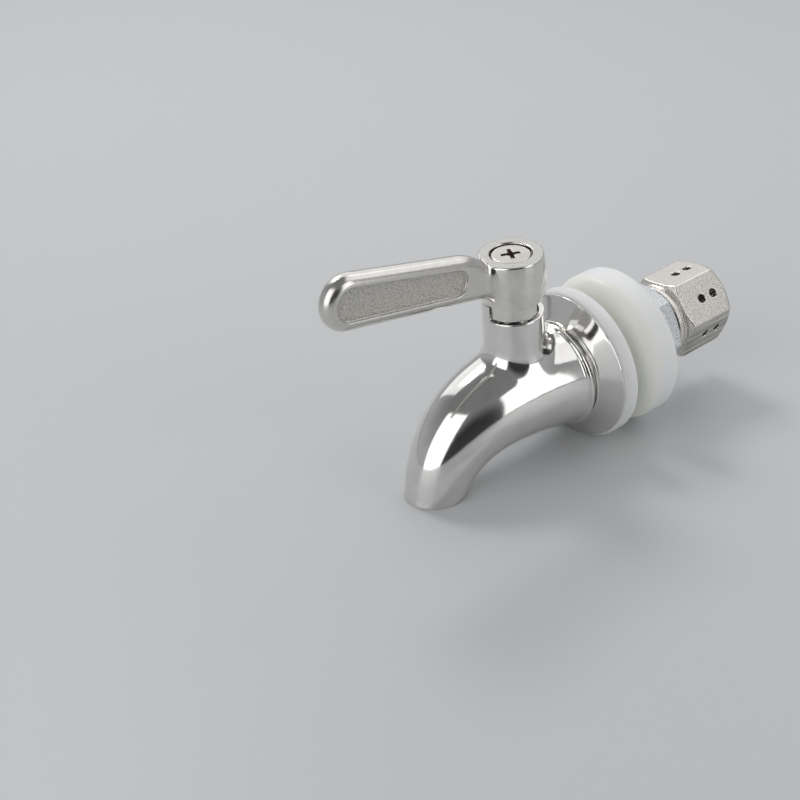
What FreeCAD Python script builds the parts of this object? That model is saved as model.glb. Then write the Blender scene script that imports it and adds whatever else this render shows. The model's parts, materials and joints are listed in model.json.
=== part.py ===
import FreeCAD, Part
import math
import os
from types import SimpleNamespace

import Sketcher
from FreeCAD import Placement, Rotation, Vector

# Dispenser faucet with a curved cast spout, a paddle lever and a quarter-turn ball valve.
# Origin: the shank's axis at the wall plane, which is the rear face of the front washer.
# +Y runs along the shank into the container, the spout points to -Y, and +Z is up.

# Driving dimensions, in millimetres and degrees
DIMENSIONS = {
    # threaded shank
    "shank_diameter": 12.0,
    "shank_bore": 7.0,
    "shank_end": 29.4,
    "shank_end_chamfer": 0.8,
    "shank_head_diameter": 16.2,
    "shank_head_length": 3.8,
    # silicone washers, and the room for the container's wall between them
    "washer_diameter": 35.0,
    "front_washer_thickness": 3.7,
    "washer_edge": 0.5,
    "wall_room": 3.8,
    "rear_washer_diameter": 35.2,
    "rear_washer_thickness": 8.4,
    "rear_washer_shoulder": 3.7,
    # conical flange
    "flange_diameter": 34.0,
    "flange_neck_diameter": 23.4,
    "flange_depth": 4.0,
    "flange_cone_depth": 2.8,
    "flange_groove_depth": 1.1,
    "flange_groove_width": 0.85,
    "flange_sheet": 1.0,
    "flange_rim": 0.3,
    # hex nut and perforated filter cap
    "nut_across_flats": 18.5,
    "nut_height": 9.6,
    "nut_angle": -6.0,
    "cap_gap": 0.8,
    "cap_across_flats": 18.0,
    "cap_hex_length": 13.4,
    "cap_angle": 9.0,
    "cap_collar_diameter": 17.0,
    "cap_collar_length": 2.6,
    "cap_end_wall": 1.8,
    "cap_groove_width": 0.4,
    "cap_groove_depth": 0.25,
    "cap_groove_pitch": 0.9,
    "cap_hole_diameter": 2.0,
    "cap_first_hole": 8.4,
    "cap_hole_pitch": 3.7,
    "hex_rim": 0.1,
    "hex_bevel": 0.8,
    "cap_end_rim": 0.3,
    "cap_end_bevel": 1.5,
    # cast spout
    "valve_setback": 20.1,
    "spout_start_lift": 0.4,
    "spout_crown_lift": 2.8,
    "spout_crown_reach": 16.5,
    "spout_reach": 44.7,
    "spout_drop": 14.5,
    "spout_end_lean": 5.2,
    "spout_end_rise": 17.2,
    "spout_rear_radius": 11.6,
    "spout_middle_radius": 10.6,
    "spout_mouth_radius": 6.7,
    "spout_grind": 3.0,
    "passage_throat_radius": 4.0,
    "passage_bend_radius": 4.6,
    "outlet_diameter": 10.2,
    "outlet_length": 3.6,
    "mouth_edge": 0.5,
    "bead_diameter": 24.6,
    "bead_width": 1.6,
    # neck that carries the lever, with its stop step
    "neck_diameter": 13.5,
    "neck_top": 24.5,
    "rim_step": 3.2,
    "neck_blend": 2.5,
    "neck_bore": 8.7,
    "neck_bore_floor": 8.4,
    "stem_port": 6.8,
    "gland_bore": 10.5,
    "gland_floor": 15.4,
    # ball valve
    "ball_diameter": 12.0,
    "ball_bore": 6.6,
    "chamber_diameter": 14.4,
    "seat_distance": 7.0,
    "seat_thickness": 3.7,
    "seat_bore": 7.0,
    "retainer_thickness": 1.6,
    "spanner_slot": 1.4,
    "spanner_slot_depth": 0.7,
    # stem and what seals it
    "stem_diameter": 8.6,
    "stem_shoulder": 14.6,
    "stem_shaft_diameter": 6.0,
    "stem_seat": 26.0,
    "stem_top": 31.5,
    "stem_flats": 4.6,
    "tang_thickness": 2.2,
    "tang_width": 6.0,
    "tang_depth": 1.5,
    "o_ring_section": 1.2,
    "o_ring_groove_width": 1.4,
    "lower_groove": 9.5,
    "groove_pitch": 2.5,
    "gland_nut_height": 5.0,
    # lever
    "hub_bottom": 24.9,
    "hub_top": 35.0,
    "hub_top_radius": 6.9,
    "hub_bottom_radius": 7.1,
    "hub_barrel_radius": 30.0,
    "hub_edge": 0.4,
    "lug_drop": 2.85,
    "lug_inner_radius": 5.4,
    "lug_start": -81.0,
    "lug_sweep": 88.0,
    "lug_rounding": 2.0,
    "plate_thickness": 4.6,
    "plate_edge": 2.2,
    "plate_reach": 48.3,
    "plate_tip_height": 40.8,
    "plate_tip_radius": 6.05,
    "plate_top_rise": 14.6,
    "plate_bottom_rise": 11.4,
    "plate_root_reach": 14.0,
    "plate_root_drop": 1.6,
    "plate_root_sink": 1.0,
    "root_flare_radius": 4.0,
    "root_flare_inset": 0.8,
    "root_flare_rounding": 1.0,
    "recess_depth": 0.8,
    "recess_border": 2.35,
    "recess_root": 16.3,
    # screw that holds the lever down
    "screw_thread": 4.0,
    "screw_length": 8.5,
    "screw_head_diameter": 8.3,
    "screw_head_height": 2.2,
    "screw_recess_diameter": 9.3,
    "screw_sunk": 0.2,
    "cross_width": 0.9,
    "cross_length": 4.2,
    "cross_depth": 1.2,
    "cross_angle": -27.0,
    "spring_washer_thickness": 0.8,
    "spring_washer_diameter": 7.6,
    # clearances
    "fit_clearance": 0.05,
    "free_clearance": 0.25,
}

# Features that take material away, and the least that each must take, in mm3
CUTTING_TYPES = (
    "PartDesign::Pocket",
    "PartDesign::Groove",
    "PartDesign::SubtractiveLoft",
)
SMALLEST_CUT = 0.05

# Sections along the spout's centreline, as shares of its length
OUTER_SECTIONS = [0.2, 0.4, 0.55, 0.7, 0.85]
INNER_SECTIONS = [0.6, 0.78]

# Sections of the lever's root flare, as shares of its turn from paddle to hub
FLARE_SECTIONS = [0.0, 0.35, 0.7, 1.0]

# Where the flare ends inside the hub, along and across the paddle, as shares of
# the hub's radius
FLARE_END = (0.72, 0.58)

doc = FreeCAD.newDocument("dispenser_faucet")


class Size:
    """A number together with the sheet formula that gives it."""

    def __init__(self, value, text):
        self.value = float(value)
        self.text = text

    def __add__(self, other):
        other = as_size(other)
        return Size(self.value + other.value, f"({self.text} + {other.text})")

    def __radd__(self, other):
        return as_size(other) + self

    def __sub__(self, other):
        other = as_size(other)
        return Size(self.value - other.value, f"({self.text} - {other.text})")

    def __rsub__(self, other):
        return as_size(other) - self

    def __mul__(self, other):
        other = as_size(other)
        return Size(self.value * other.value, f"({self.text} * {other.text})")

    def __rmul__(self, other):
        return as_size(other) * self

    def __truediv__(self, other):
        other = as_size(other)
        return Size(self.value / other.value, f"({self.text} / {other.text})")

    def __neg__(self):
        return as_size(0) - self


def as_size(number):
    if isinstance(number, Size):
        return number
    return Size(number, f"{number:.6f}")


def root(size):
    return Size(math.sqrt(size.value), f"sqrt({size.text})")


def cosine(degrees):
    return Size(math.cos(math.radians(degrees.value)), f"cos({degrees.text})")


def sine(degrees):
    return Size(math.sin(math.radians(degrees.value)), f"sin({degrees.text})")


def angle_of(across, along):
    """The direction in degrees whose sine goes as across and cosine as along."""
    degrees = math.degrees(math.atan2(across.value, along.value))
    return Size(degrees, f"(atan2({across.text}; {along.text}) / 1deg)")


def make_sheet():
    sheet = doc.addObject("Spreadsheet::Sheet", "Sizes")
    for row, (alias, value) in enumerate(DIMENSIONS.items(), start=1):
        sheet.set(f"A{row}", alias)
        sheet.set(f"B{row}", str(value))
        sheet.setAlias(f"B{row}", alias)
    doc.recompute()
    return sheet


SHEET = make_sheet()
dim = SimpleNamespace(
    **{alias: Size(SHEET.get(alias), f"Sizes.{alias}") for alias in DIMENSIONS}
)

# Stations along the shank, counted from the wall plane
SHANK_RADIUS = dim.shank_diameter / 2
FLANGE_FRONT = -(dim.front_washer_thickness + dim.flange_depth)
HEAD_FRONT = FLANGE_FRONT - dim.shank_head_length
REAR_WASHER_FRONT = dim.wall_room
NUT_FRONT = REAR_WASHER_FRONT + dim.rear_washer_thickness
CAP_FRONT = NUT_FRONT + dim.nut_height + dim.cap_gap
WASHER_HOLE_RADIUS = SHANK_RADIUS + dim.free_clearance
THREAD_BORE_RADIUS = SHANK_RADIUS + dim.fit_clearance
CHAMBER_RADIUS = dim.chamber_diameter / 2
CHAMBER_FRONT = -(dim.valve_setback + dim.seat_distance)
RETAINER_FRONT = -(dim.valve_setback - dim.seat_distance)
GROOVE_FLOOR_DROP = dim.o_ring_section

# Heights up the neck, counted from the shank's axis
GLAND_FLOOR = dim.gland_floor
SCREW_RECESS_DEPTH = (
    dim.screw_sunk + dim.screw_head_height + dim.spring_washer_thickness
)
SCREW_SEAT = dim.hub_top - SCREW_RECESS_DEPTH
SCREW_UNDER_HEAD = SCREW_SEAT + dim.spring_washer_thickness

FORWARD_TO_BACK = Rotation(Vector(1, 0, 0), -90)
BACK_TO_FORWARD = Rotation(Vector(1, 0, 0), 90)


def new_body(name, rotation=Rotation(), across=None, up=None):
    """A part of its own, turned by rotation and moved along Y and Z by the sheet."""
    body = doc.addObject("PartDesign::Body", name)
    body.Label = name
    body.Placement = Placement(Vector(0, 0, 0), rotation)
    if across is not None:
        body.setExpression("Placement.Base.y", across.text)
    if up is not None:
        body.setExpression("Placement.Base.z", up.text)
    return body


def new_sketch(body, name, plane="XZ_Plane", lift=None):
    """A sketch on one of the body's own origin planes, lifted off it by a size."""
    sketch = body.newObject("Sketcher::SketchObject", name)
    for feature in body.Origin.OriginFeatures:
        if feature.Role == plane:
            sketch.AttachmentSupport = [(feature, "")]
    sketch.MapMode = "FlatFace"
    if lift is not None:
        sketch.setExpression("AttachmentOffset.Base.z", lift.text)
    return sketch


def bind_constraint(sketch, constraint, size):
    index = sketch.addConstraint(constraint)
    sketch.setExpression(f"Constraints[{index}]", size.text)


def pin_point(sketch, geometry, end, x, y):
    """Holds one end of a sketch element at sizes from the sketch's origin."""
    bind_constraint(
        sketch,
        Sketcher.Constraint("DistanceX", -1, 1, geometry, end, x.value),
        x,
    )
    bind_constraint(
        sketch,
        Sketcher.Constraint("DistanceY", -1, 1, geometry, end, y.value),
        y,
    )


def arc_through(start, finish, radius):
    """The short arc between two points; it runs clockwise if radius is negative."""
    half = (finish - start) * 0.5
    reach = math.sqrt(max(radius * radius - half.Length**2, 0))
    left = Vector(-half.y, half.x, 0).normalize()
    centre = start + half + left * math.copysign(reach, radius)
    first, last = (start, finish) if radius > 0 else (finish, start)
    angles = []
    for end in (first, last):
        angles.append(math.atan2(end.y - centre.y, end.x - centre.x))
    whole = Part.Circle(centre, Vector(0, 0, 1), abs(radius))
    return Part.ArcOfCircle(whole, angles[0], angles[1])


def outline(sketch, points, arcs=None):
    """A closed outline whose corners are held by the sheet.

    arcs gives the radius of each side that is an arc, by the side's number.
    """
    arcs = arcs or {}
    points = [(as_size(x), as_size(y)) for x, y in points]
    corners = [Vector(x.value, y.value, 0) for x, y in points]
    count = len(points)
    base = sketch.GeometryCount
    heads = []
    tails = []
    for side in range(count):
        start = corners[side]
        finish = corners[(side + 1) % count]
        radius = arcs.get(side)
        if radius is None:
            sketch.addGeometry(Part.LineSegment(start, finish))
        else:
            sketch.addGeometry(arc_through(start, finish, radius.value))
        backwards = radius is not None and radius.value < 0
        heads.append(2 if backwards else 1)
        tails.append(1 if backwards else 2)
    for side in range(count):
        following = (side + 1) % count
        sketch.addConstraint(
            Sketcher.Constraint(
                "Coincident", base + side, tails[side], base + following, heads[following]
            )
        )
    for side, (x, y) in enumerate(points):
        pin_point(sketch, base + side, heads[side], x, y)
    for side, radius in arcs.items():
        size = radius if radius.value > 0 else -radius
        bind_constraint(
            sketch, Sketcher.Constraint("Radius", base + side, size.value), size
        )


def box_outline(sketch, left, right, low, high):
    outline(sketch, [(left, low), (right, low), (right, high), (left, high)])


def hexagon(sketch, across_flats, phase):
    """A regular hexagon with a corner at phase, in degrees, from the X axis."""
    corner = across_flats / math.sqrt(3)
    points = []
    for step in range(6):
        turn = phase + 60 * step
        points.append((corner * cosine(turn), corner * sine(turn)))
    outline(sketch, points)


def circle(sketch, radius, x=0, y=0):
    x, y = as_size(x), as_size(y)
    centre = Vector(x.value, y.value, 0)
    index = sketch.addGeometry(Part.Circle(centre, Vector(0, 0, 1), radius.value))
    bind_constraint(
        sketch, Sketcher.Constraint("Radius", index, radius.value), radius
    )
    pin_point(sketch, index, 3, x, y)


def pad(body, name, sketch, length, middle=False, back=False):
    feature = body.newObject("PartDesign::Pad", name)
    feature.Profile = sketch
    feature.setExpression("Length", length.text)
    feature.Midplane = middle
    feature.Reversed = back
    return feature


def pocket(body, name, sketch, length=None, middle=False, back=False):
    """A cut of a set length, or right through where no length is given."""
    feature = body.newObject("PartDesign::Pocket", name)
    feature.Profile = sketch
    if length is None:
        feature.Type = "ThroughAll"
    else:
        feature.setExpression("Length", length.text)
    feature.Midplane = middle
    feature.Reversed = back
    return feature


def revolve(body, name, sketch, cut=False, axis="V_Axis"):
    kind = "PartDesign::Groove" if cut else "PartDesign::Revolution"
    feature = body.newObject(kind, name)
    feature.Profile = sketch
    feature.ReferenceAxis = (sketch, [axis])
    feature.Angle = 360
    return feature


def turned(body, name, points, cut=False):
    """Turns an outline of (radius, height) points about the body's Z axis."""
    sketch = new_sketch(body, f"{name}Profile")
    outline(sketch, points)
    return revolve(body, name, sketch, cut)


def edges_where(feature, test):
    """Names of the feature's edges that pass a geometric test."""
    doc.recompute()
    names = []
    for index, edge in enumerate(feature.Shape.Edges, start=1):
        if test(edge):
            names.append(f"Edge{index}")
    if not names:
        raise ValueError(f"no edges found on {feature.Name}")
    return names


def ring_at(radius, height, slack=0.02):
    """A test for a full circle about Z of one radius at one height."""

    def test(edge):
        curve = edge.Curve
        if not isinstance(curve, Part.Circle):
            return False
        if abs(curve.Radius - radius.value) > slack:
            return False
        return abs(curve.Center.z - height.value) < slack

    return test


def round_edges(body, name, feature, test, radius, kind="PartDesign::Fillet"):
    edges = edges_where(feature, test)
    rounding = body.newObject(kind, name)
    rounding.Base = (feature, edges)
    size_name = "Radius" if kind.endswith("Fillet") else "Size"
    rounding.setExpression(size_name, radius.text)
    return rounding


def bevel_corners(body, name, across_flats, face, rim, depth):
    """Turns a hexagonal prism's corners down at one end face.

    rim is how far inside the flats the face's round edge lies, and depth is how
    far the corners are cut back, negative at the lower end.
    """
    corner = across_flats / math.sqrt(3)
    edge = across_flats / 2 - rim
    slope = depth / (corner - edge)
    outside = corner + dim.hex_bevel
    turned(
        body,
        name,
        [(edge, face), (outside, face), (outside, face - slope * (outside - edge))],
        cut=True,
    )


# Silicone washers on both sides of the container's wall
def make_front_washer():
    front = -dim.front_washer_thickness
    body = new_body("front_washer", FORWARD_TO_BACK, across=front)
    outer = dim.washer_diameter / 2
    zero = as_size(0)
    disc = turned(
        body,
        "Disc",
        [
            (WASHER_HOLE_RADIUS, zero),
            (outer, zero),
            (outer, dim.front_washer_thickness),
            (WASHER_HOLE_RADIUS, dim.front_washer_thickness),
        ],
    )

    def outer_rims(edge):
        near = ring_at(outer, zero)(edge)
        return near or ring_at(outer, dim.front_washer_thickness)(edge)

    round_edges(body, "SoftEdges", disc, outer_rims, dim.washer_edge)
    return body


def make_rear_washer():
    body = new_body("rear_washer", FORWARD_TO_BACK, across=REAR_WASHER_FRONT)
    outer = dim.rear_washer_diameter / 2
    thick = dim.rear_washer_thickness
    zero = as_size(0)
    disc = turned(
        body,
        "Disc",
        [
            (WASHER_HOLE_RADIUS, zero),
            (outer, zero),
            (outer, thick),
            (WASHER_HOLE_RADIUS, thick),
        ],
    )
    shoulder = round_edges(
        body, "Shoulder", disc, ring_at(outer, zero), dim.rear_washer_shoulder
    )
    round_edges(
        body, "RearEdge", shoulder, ring_at(outer, thick), dim.washer_edge
    )
    return body


# Spun flange between the cast body and the front washer
def make_flange():
    body = new_body("flange", FORWARD_TO_BACK, across=FLANGE_FRONT)
    hole = SHANK_RADIUS + dim.free_clearance
    neck = dim.flange_neck_diameter / 2
    groove = neck - dim.flange_groove_depth
    width = dim.flange_groove_width
    rim = dim.flange_diameter / 2
    depth = dim.flange_depth
    cone_start = depth - dim.flange_cone_depth
    sheet = dim.flange_sheet

    # the groove in front of the neck leaves a shadow line behind the cast body
    shell = turned(
        body,
        "Shell",
        [
            (hole, as_size(0)),
            (groove, as_size(0)),
            (groove, width),
            (neck, width),
            (neck, cone_start),
            (rim, depth - dim.flange_rim),
            (rim, depth),
            (rim - sheet, depth),
            (groove - sheet, width + sheet),
            (groove - sheet, sheet),
            (hole, sheet),
        ],
    )
    round_edges(body, "NeckEdge", shell, ring_at(neck, width), sheet / 4)
    return body


# Hollow threaded shank, with a head that screws into the cast body
def make_shank():
    body = new_body("shank", FORWARD_TO_BACK, across=HEAD_FRONT)
    head = dim.shank_head_diameter / 2
    head_length = dim.shank_head_length
    bore = dim.shank_bore / 2
    length = dim.shank_end - HEAD_FRONT
    groove_low = (head_length - dim.o_ring_groove_width) / 2
    groove_high = groove_low + dim.o_ring_groove_width
    groove_floor = head - GROOVE_FLOOR_DROP
    rod = turned(
        body,
        "Rod",
        [
            (bore, as_size(0)),
            (head, as_size(0)),
            (head, groove_low),
            (groove_floor, groove_low),
            (groove_floor, groove_high),
            (head, groove_high),
            (head, head_length),
            (SHANK_RADIUS, head_length),
            (SHANK_RADIUS, length),
            (bore, length),
        ],
    )
    round_edges(
        body,
        "EndChamfer",
        rod,
        ring_at(SHANK_RADIUS, length),
        dim.shank_end_chamfer,
        kind="PartDesign::Chamfer",
    )
    return body


def make_o_ring(name, centre_radius, rotation, across, up=None):
    ring = doc.addObject("Part::Torus", name)
    ring.Label = name
    section = dim.o_ring_section / 2
    ring.setExpression("Radius1", centre_radius.text)
    ring.setExpression("Radius2", section.text)
    ring.Placement = Placement(Vector(0, 0, 0), rotation)
    ring.setExpression("Placement.Base.y", across.text)
    if up is not None:
        ring.setExpression("Placement.Base.z", up.text)
    return ring


# Seats, ball and retainer of the valve
def make_seat(name, rotation, across):
    """A ring whose inner face is the ball's own sphere, outer face at height zero."""
    body = new_body(name, rotation, across=across)
    outer = CHAMBER_RADIUS - dim.fit_clearance
    inner = dim.seat_bore / 2
    sphere = dim.ball_diameter / 2 + dim.fit_clearance
    thick = dim.seat_thickness
    rim = dim.seat_distance - thick
    rim_radius = root(sphere * sphere - rim * rim)
    dish = dim.seat_distance - root(sphere * sphere - inner * inner)
    sketch = new_sketch(body, "RingProfile")
    outline(
        sketch,
        [(rim_radius, thick), (outer, thick), (outer, 0), (inner, 0), (inner, dish)],
        arcs={4: sphere},
    )
    revolve(body, "Ring", sketch)
    return body


def make_retainer():
    body = new_body("seat_retainer", FORWARD_TO_BACK, across=RETAINER_FRONT)
    outer = CHAMBER_RADIUS - dim.fit_clearance
    inner = dim.seat_bore / 2
    height = dim.retainer_thickness
    turned(
        body,
        "Ring",
        [(inner, 0), (outer, 0), (outer, height), (inner, height)],
    )
    cut_spanner_slot(body, outer, height)
    return body


def cut_spanner_slot(body, outer, height):
    """A slot across the top face of a threaded ring, for a pin spanner."""
    sketch = new_sketch(body, "SlotOutline", "XY_Plane", lift=height)
    half = dim.spanner_slot / 2
    box_outline(sketch, -outer, outer, -half, half)
    pocket(body, "Slot", sketch, dim.spanner_slot_depth)


def make_ball():
    """A bored sphere with a slot on top for the stem's tang."""
    sphere = doc.addObject("Part::Sphere", "BallBlank")
    radius = dim.ball_diameter / 2
    sphere.setExpression("Radius", radius.text)
    bore = doc.addObject("Part::Cylinder", "BallBore")
    bore.setExpression("Radius", (dim.ball_bore / 2).text)
    bore.setExpression("Height", (dim.ball_diameter * 2).text)
    bore.Placement = Placement(Vector(0, 0, 0), FORWARD_TO_BACK)
    bore.setExpression("Placement.Base.y", (-dim.ball_diameter).text)
    slot = doc.addObject("Part::Box", "BallSlot")
    slot_width = dim.tang_thickness + dim.fit_clearance * 2
    slot.setExpression("Length", (dim.ball_diameter * 2).text)
    slot.setExpression("Width", slot_width.text)
    slot.setExpression("Height", dim.ball_diameter.text)
    slot.setExpression("Placement.Base.x", (-dim.ball_diameter).text)
    slot.setExpression("Placement.Base.y", (-(slot_width / 2)).text)
    slot.setExpression("Placement.Base.z", TANG_FOOT_SEAT.text)
    tools = doc.addObject("Part::Fuse", "BallCuts")
    tools.Base = bore
    tools.Tool = slot
    ball = doc.addObject("Part::Cut", "valve_ball")
    ball.Label = "valve_ball"
    ball.Base = sphere
    ball.Tool = tools
    ball.setExpression("Placement.Base.y", (-dim.valve_setback).text)
    return ball


TANG_FOOT = dim.ball_diameter / 2 - dim.tang_depth
TANG_FOOT_SEAT = TANG_FOOT - dim.fit_clearance
STEM_BORE_FLOOR = dim.neck_bore_floor + dim.fit_clearance


# Stem that turns the ball, stacked up the neck with its seals
def make_stem():
    body = new_body("stem", across=-dim.valve_setback)
    wide = dim.stem_diameter / 2
    narrow = dim.stem_shaft_diameter / 2
    floor = wide - GROOVE_FLOOR_DROP
    foot = dim.tang_width / 2
    points = [
        (0, TANG_FOOT),
        (foot, TANG_FOOT),
        (foot, STEM_BORE_FLOOR),
        (wide, STEM_BORE_FLOOR),
    ]
    for step in range(2):
        low = dim.lower_groove + dim.groove_pitch * step
        high = low + dim.o_ring_groove_width
        points += [(wide, low), (floor, low), (floor, high), (wide, high)]
    points += [
        (wide, dim.stem_shoulder),
        (narrow, dim.stem_shoulder),
        (narrow, dim.stem_top),
        (0, dim.stem_top),
    ]
    turned(body, "Spindle", points)

    # the tang is a blade across the flow that drops into the ball's slot
    blade = new_sketch(body, "TangOutline", "XY_Plane", lift=TANG_FOOT)
    half = dim.tang_thickness / 2
    box_outline(blade, -wide, wide, half, wide)
    box_outline(blade, -wide, wide, -wide, -half)
    pocket(body, "Tang", blade, STEM_BORE_FLOOR - TANG_FOOT, back=True)

    # two flats at the top carry the lever
    flats = new_sketch(body, "FlatsOutline", "XY_Plane", lift=dim.stem_seat)
    half = dim.stem_flats / 2
    box_outline(flats, half, wide, -wide, wide)
    box_outline(flats, -wide, -half, -wide, wide)
    pocket(body, "Flats", flats, dim.stem_top - dim.stem_seat, back=True)

    hole = new_sketch(body, "TappedHole", "XY_Plane", lift=dim.stem_top)
    circle(hole, dim.screw_thread / 2)
    pocket(body, "Tapping", hole, dim.screw_length)
    return body


def make_thrust_washer():
    body = new_body(
        "stem_thrust_washer", across=-dim.valve_setback, up=dim.stem_shoulder
    )
    inner = dim.stem_shaft_diameter / 2 + dim.fit_clearance
    outer = dim.neck_bore / 2 - dim.fit_clearance
    height = dim.gland_floor - dim.stem_shoulder
    turned(
        body,
        "Ring",
        [(inner, 0), (outer, 0), (outer, height), (inner, height)],
    )
    return body


def make_gland_nut():
    body = new_body("gland_nut", across=-dim.valve_setback, up=dim.gland_floor)
    inner = dim.stem_shaft_diameter / 2 + dim.fit_clearance
    outer = dim.gland_bore / 2 - dim.fit_clearance
    height = dim.gland_nut_height
    turned(
        body,
        "Ring",
        [(inner, 0), (outer, 0), (outer, height), (inner, height)],
    )
    cut_spanner_slot(body, outer, height)
    return body


# Cast body: curved spout, rear bead and the neck with its stop step
def spout_point(share):
    """A point of the centreline, as (y, z), and the direction that it runs in."""
    start = (FLANGE_FRONT, dim.spout_start_lift)
    crown = (FLANGE_FRONT - dim.spout_crown_reach, dim.spout_crown_lift)
    mouth = (-dim.spout_reach, -dim.spout_drop)
    above = (mouth[0] + dim.spout_end_lean, mouth[1] + dim.spout_end_rise)
    controls = [start, crown, above, mouth]
    rest = 1 - share
    weights = [rest**3, 3 * rest**2 * share, 3 * rest * share**2, share**3]
    slopes = [
        -3 * rest**2,
        3 * rest**2 - 6 * rest * share,
        6 * rest * share - 3 * share**2,
        3 * share**2,
    ]
    place = []
    run = []
    for axis in range(2):
        place.append(sum(w * c[axis] for w, c in zip(weights, controls)))
        run.append(sum(s * c[axis] for s, c in zip(slopes, controls)))
    return place, run


def spout_radius(share):
    rest = 1 - share
    return (
        dim.spout_rear_radius * rest**2
        + dim.spout_middle_radius * (2 * rest * share)
        + dim.spout_mouth_radius * share**2
    )


def section(body, name, place, run, radius):
    """A circle square to the centreline."""
    sketch = new_sketch(body, name, "XY_Plane")
    tilt = angle_of(-run[0], run[1])
    sketch.AttachmentOffset = Placement(
        Vector(0, place[0].value, place[1].value),
        Rotation(Vector(1, 0, 0), tilt.value),
    )
    sketch.setExpression("AttachmentOffset.Base.y", place[0].text)
    sketch.setExpression("AttachmentOffset.Base.z", place[1].text)
    sketch.setExpression("AttachmentOffset.Rotation.Angle", tilt.text)
    circle(sketch, radius)
    return sketch


def loft(body, name, sections, cut=False):
    kind = "PartDesign::SubtractiveLoft" if cut else "PartDesign::AdditiveLoft"
    feature = body.newObject(kind, name)
    feature.Profile = sections[0]
    feature.Sections = sections[1:]
    return feature


def past_mouth():
    """The centreline's end, run on past the mouth so that it can be ground flat."""
    place, run = spout_point(1.0)
    length = root(run[0] * run[0] + run[1] * run[1])
    over = dim.spout_grind / length
    beyond = [place[axis] + run[axis] * over for axis in range(2)]
    return beyond, run


def cast_spout(body):
    """The curved outside, from a round rear end to a mouth ground level."""
    rear = new_sketch(body, "OuterRear", "XZ_Plane", lift=-FLANGE_FRONT)
    circle(rear, dim.spout_rear_radius)
    sections = [rear]
    for index, share in enumerate(OUTER_SECTIONS, start=1):
        place, run = spout_point(share)
        radius = spout_radius(share)
        sections.append(section(body, f"Outer{index}", place, run, radius))
    place, run = past_mouth()
    sections.append(section(body, "OuterEnd", place, run, dim.spout_mouth_radius))
    return loft(body, "Spout", sections)


def cast_neck(body):
    outline_of_neck = new_sketch(body, "NeckOutline", "XY_Plane")
    circle(outline_of_neck, dim.neck_diameter / 2, 0, -dim.valve_setback)
    neck = pad(body, "Neck", outline_of_neck, dim.neck_top)
    top = dim.neck_top.value

    def foot_of_neck(edge):
        box = edge.BoundBox
        around = abs(box.XMax - dim.neck_diameter.value / 2) < 0.3
        return around and dim.spout_rear_radius.value * 0.6 < box.ZMin < box.ZMax < top - 1

    return round_edges(body, "NeckBlend", neck, foot_of_neck, dim.neck_blend)


def cut_rim_step(body):
    """Lowers the rim over half a turn, so that the lever's lug can travel there."""
    sketch = new_sketch(body, "RimStepOutline", "XY_Plane", lift=dim.neck_top)
    reach = dim.neck_diameter
    front = -dim.valve_setback - reach
    back = -dim.valve_setback + reach
    box_outline(sketch, 0, reach, front, back)
    pocket(body, "RimStep", sketch, dim.rim_step)


def cut_mouth(body):
    sketch = new_sketch(body, "MouthCut", "XY_Plane", lift=-dim.spout_drop)
    reach = dim.bead_diameter
    box_outline(sketch, -reach, reach, -dim.spout_reach - reach, -dim.valve_setback)
    return pocket(body, "GroundMouth", sketch, reach)


def bore_valve_chamber(body):
    """The chamber, and the counterbore that the shank's head screws into."""
    chamber_end = HEAD_FRONT
    head_bore = dim.shank_head_diameter / 2 + dim.fit_clearance
    rear = FLANGE_FRONT + dim.shank_head_length
    sketch = new_sketch(body, "ChamberProfile", "XY_Plane")
    outline(
        sketch,
        [
            (0, CHAMBER_FRONT),
            (CHAMBER_RADIUS, CHAMBER_FRONT),
            (CHAMBER_RADIUS, chamber_end),
            (head_bore, chamber_end),
            (head_bore, rear),
            (0, rear),
        ],
    )
    revolve(body, "Chamber", sketch, cut=True)


def bore_neck(body):
    """The stepped hole for the stem, its seals and the gland nut."""
    steps = [
        ("StemPort", dim.stem_port / 2, as_size(0)),
        ("NeckBore", dim.neck_bore / 2, dim.neck_bore_floor),
        ("GlandBore", dim.gland_bore / 2, dim.gland_floor),
    ]
    for name, radius, floor in steps:
        sketch = new_sketch(body, f"{name}Outline", "XY_Plane", lift=floor)
        circle(sketch, radius, 0, -dim.valve_setback)
        pocket(body, name, sketch, dim.neck_top - floor, back=True)


def bore_passage(body):
    """The water's way from the front seat round to the mouth."""
    throat = new_sketch(
        body, "Throat", "XZ_Plane", lift=-(CHAMBER_FRONT + dim.free_clearance)
    )
    circle(throat, dim.passage_throat_radius)
    sections = [throat]
    for index, share in enumerate(INNER_SECTIONS, start=1):
        place, run = spout_point(share)
        sections.append(
            section(body, f"Inner{index}", place, run, dim.passage_bend_radius)
        )
    outlet = dim.outlet_diameter / 2
    top = dim.outlet_length - dim.spout_drop
    end = new_sketch(body, "PassageEnd", "XY_Plane", lift=top)
    circle(end, outlet, 0, -dim.spout_reach)
    sections.append(end)
    loft(body, "Passage", sections, cut=True)
    mouth = new_sketch(body, "OutletOutline", "XY_Plane", lift=top)
    circle(mouth, outlet, 0, -dim.spout_reach)
    pocket(body, "Outlet", mouth, dim.outlet_length * 2)


def add_bead(body):
    """The raised ring round the rear end, against the flange."""
    radius = dim.bead_diameter / 2
    half = dim.bead_width / 2
    inner = dim.spout_rear_radius - half
    sketch = new_sketch(body, "BeadProfile", "XY_Plane")
    outline(
        sketch,
        [
            (inner, FLANGE_FRONT - dim.bead_width),
            (radius - half, FLANGE_FRONT - dim.bead_width),
            (radius, FLANGE_FRONT - half),
            (radius - half, FLANGE_FRONT),
            (inner, FLANGE_FRONT),
        ],
        arcs={1: half, 2: half},
    )
    revolve(body, "Bead", sketch)


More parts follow.
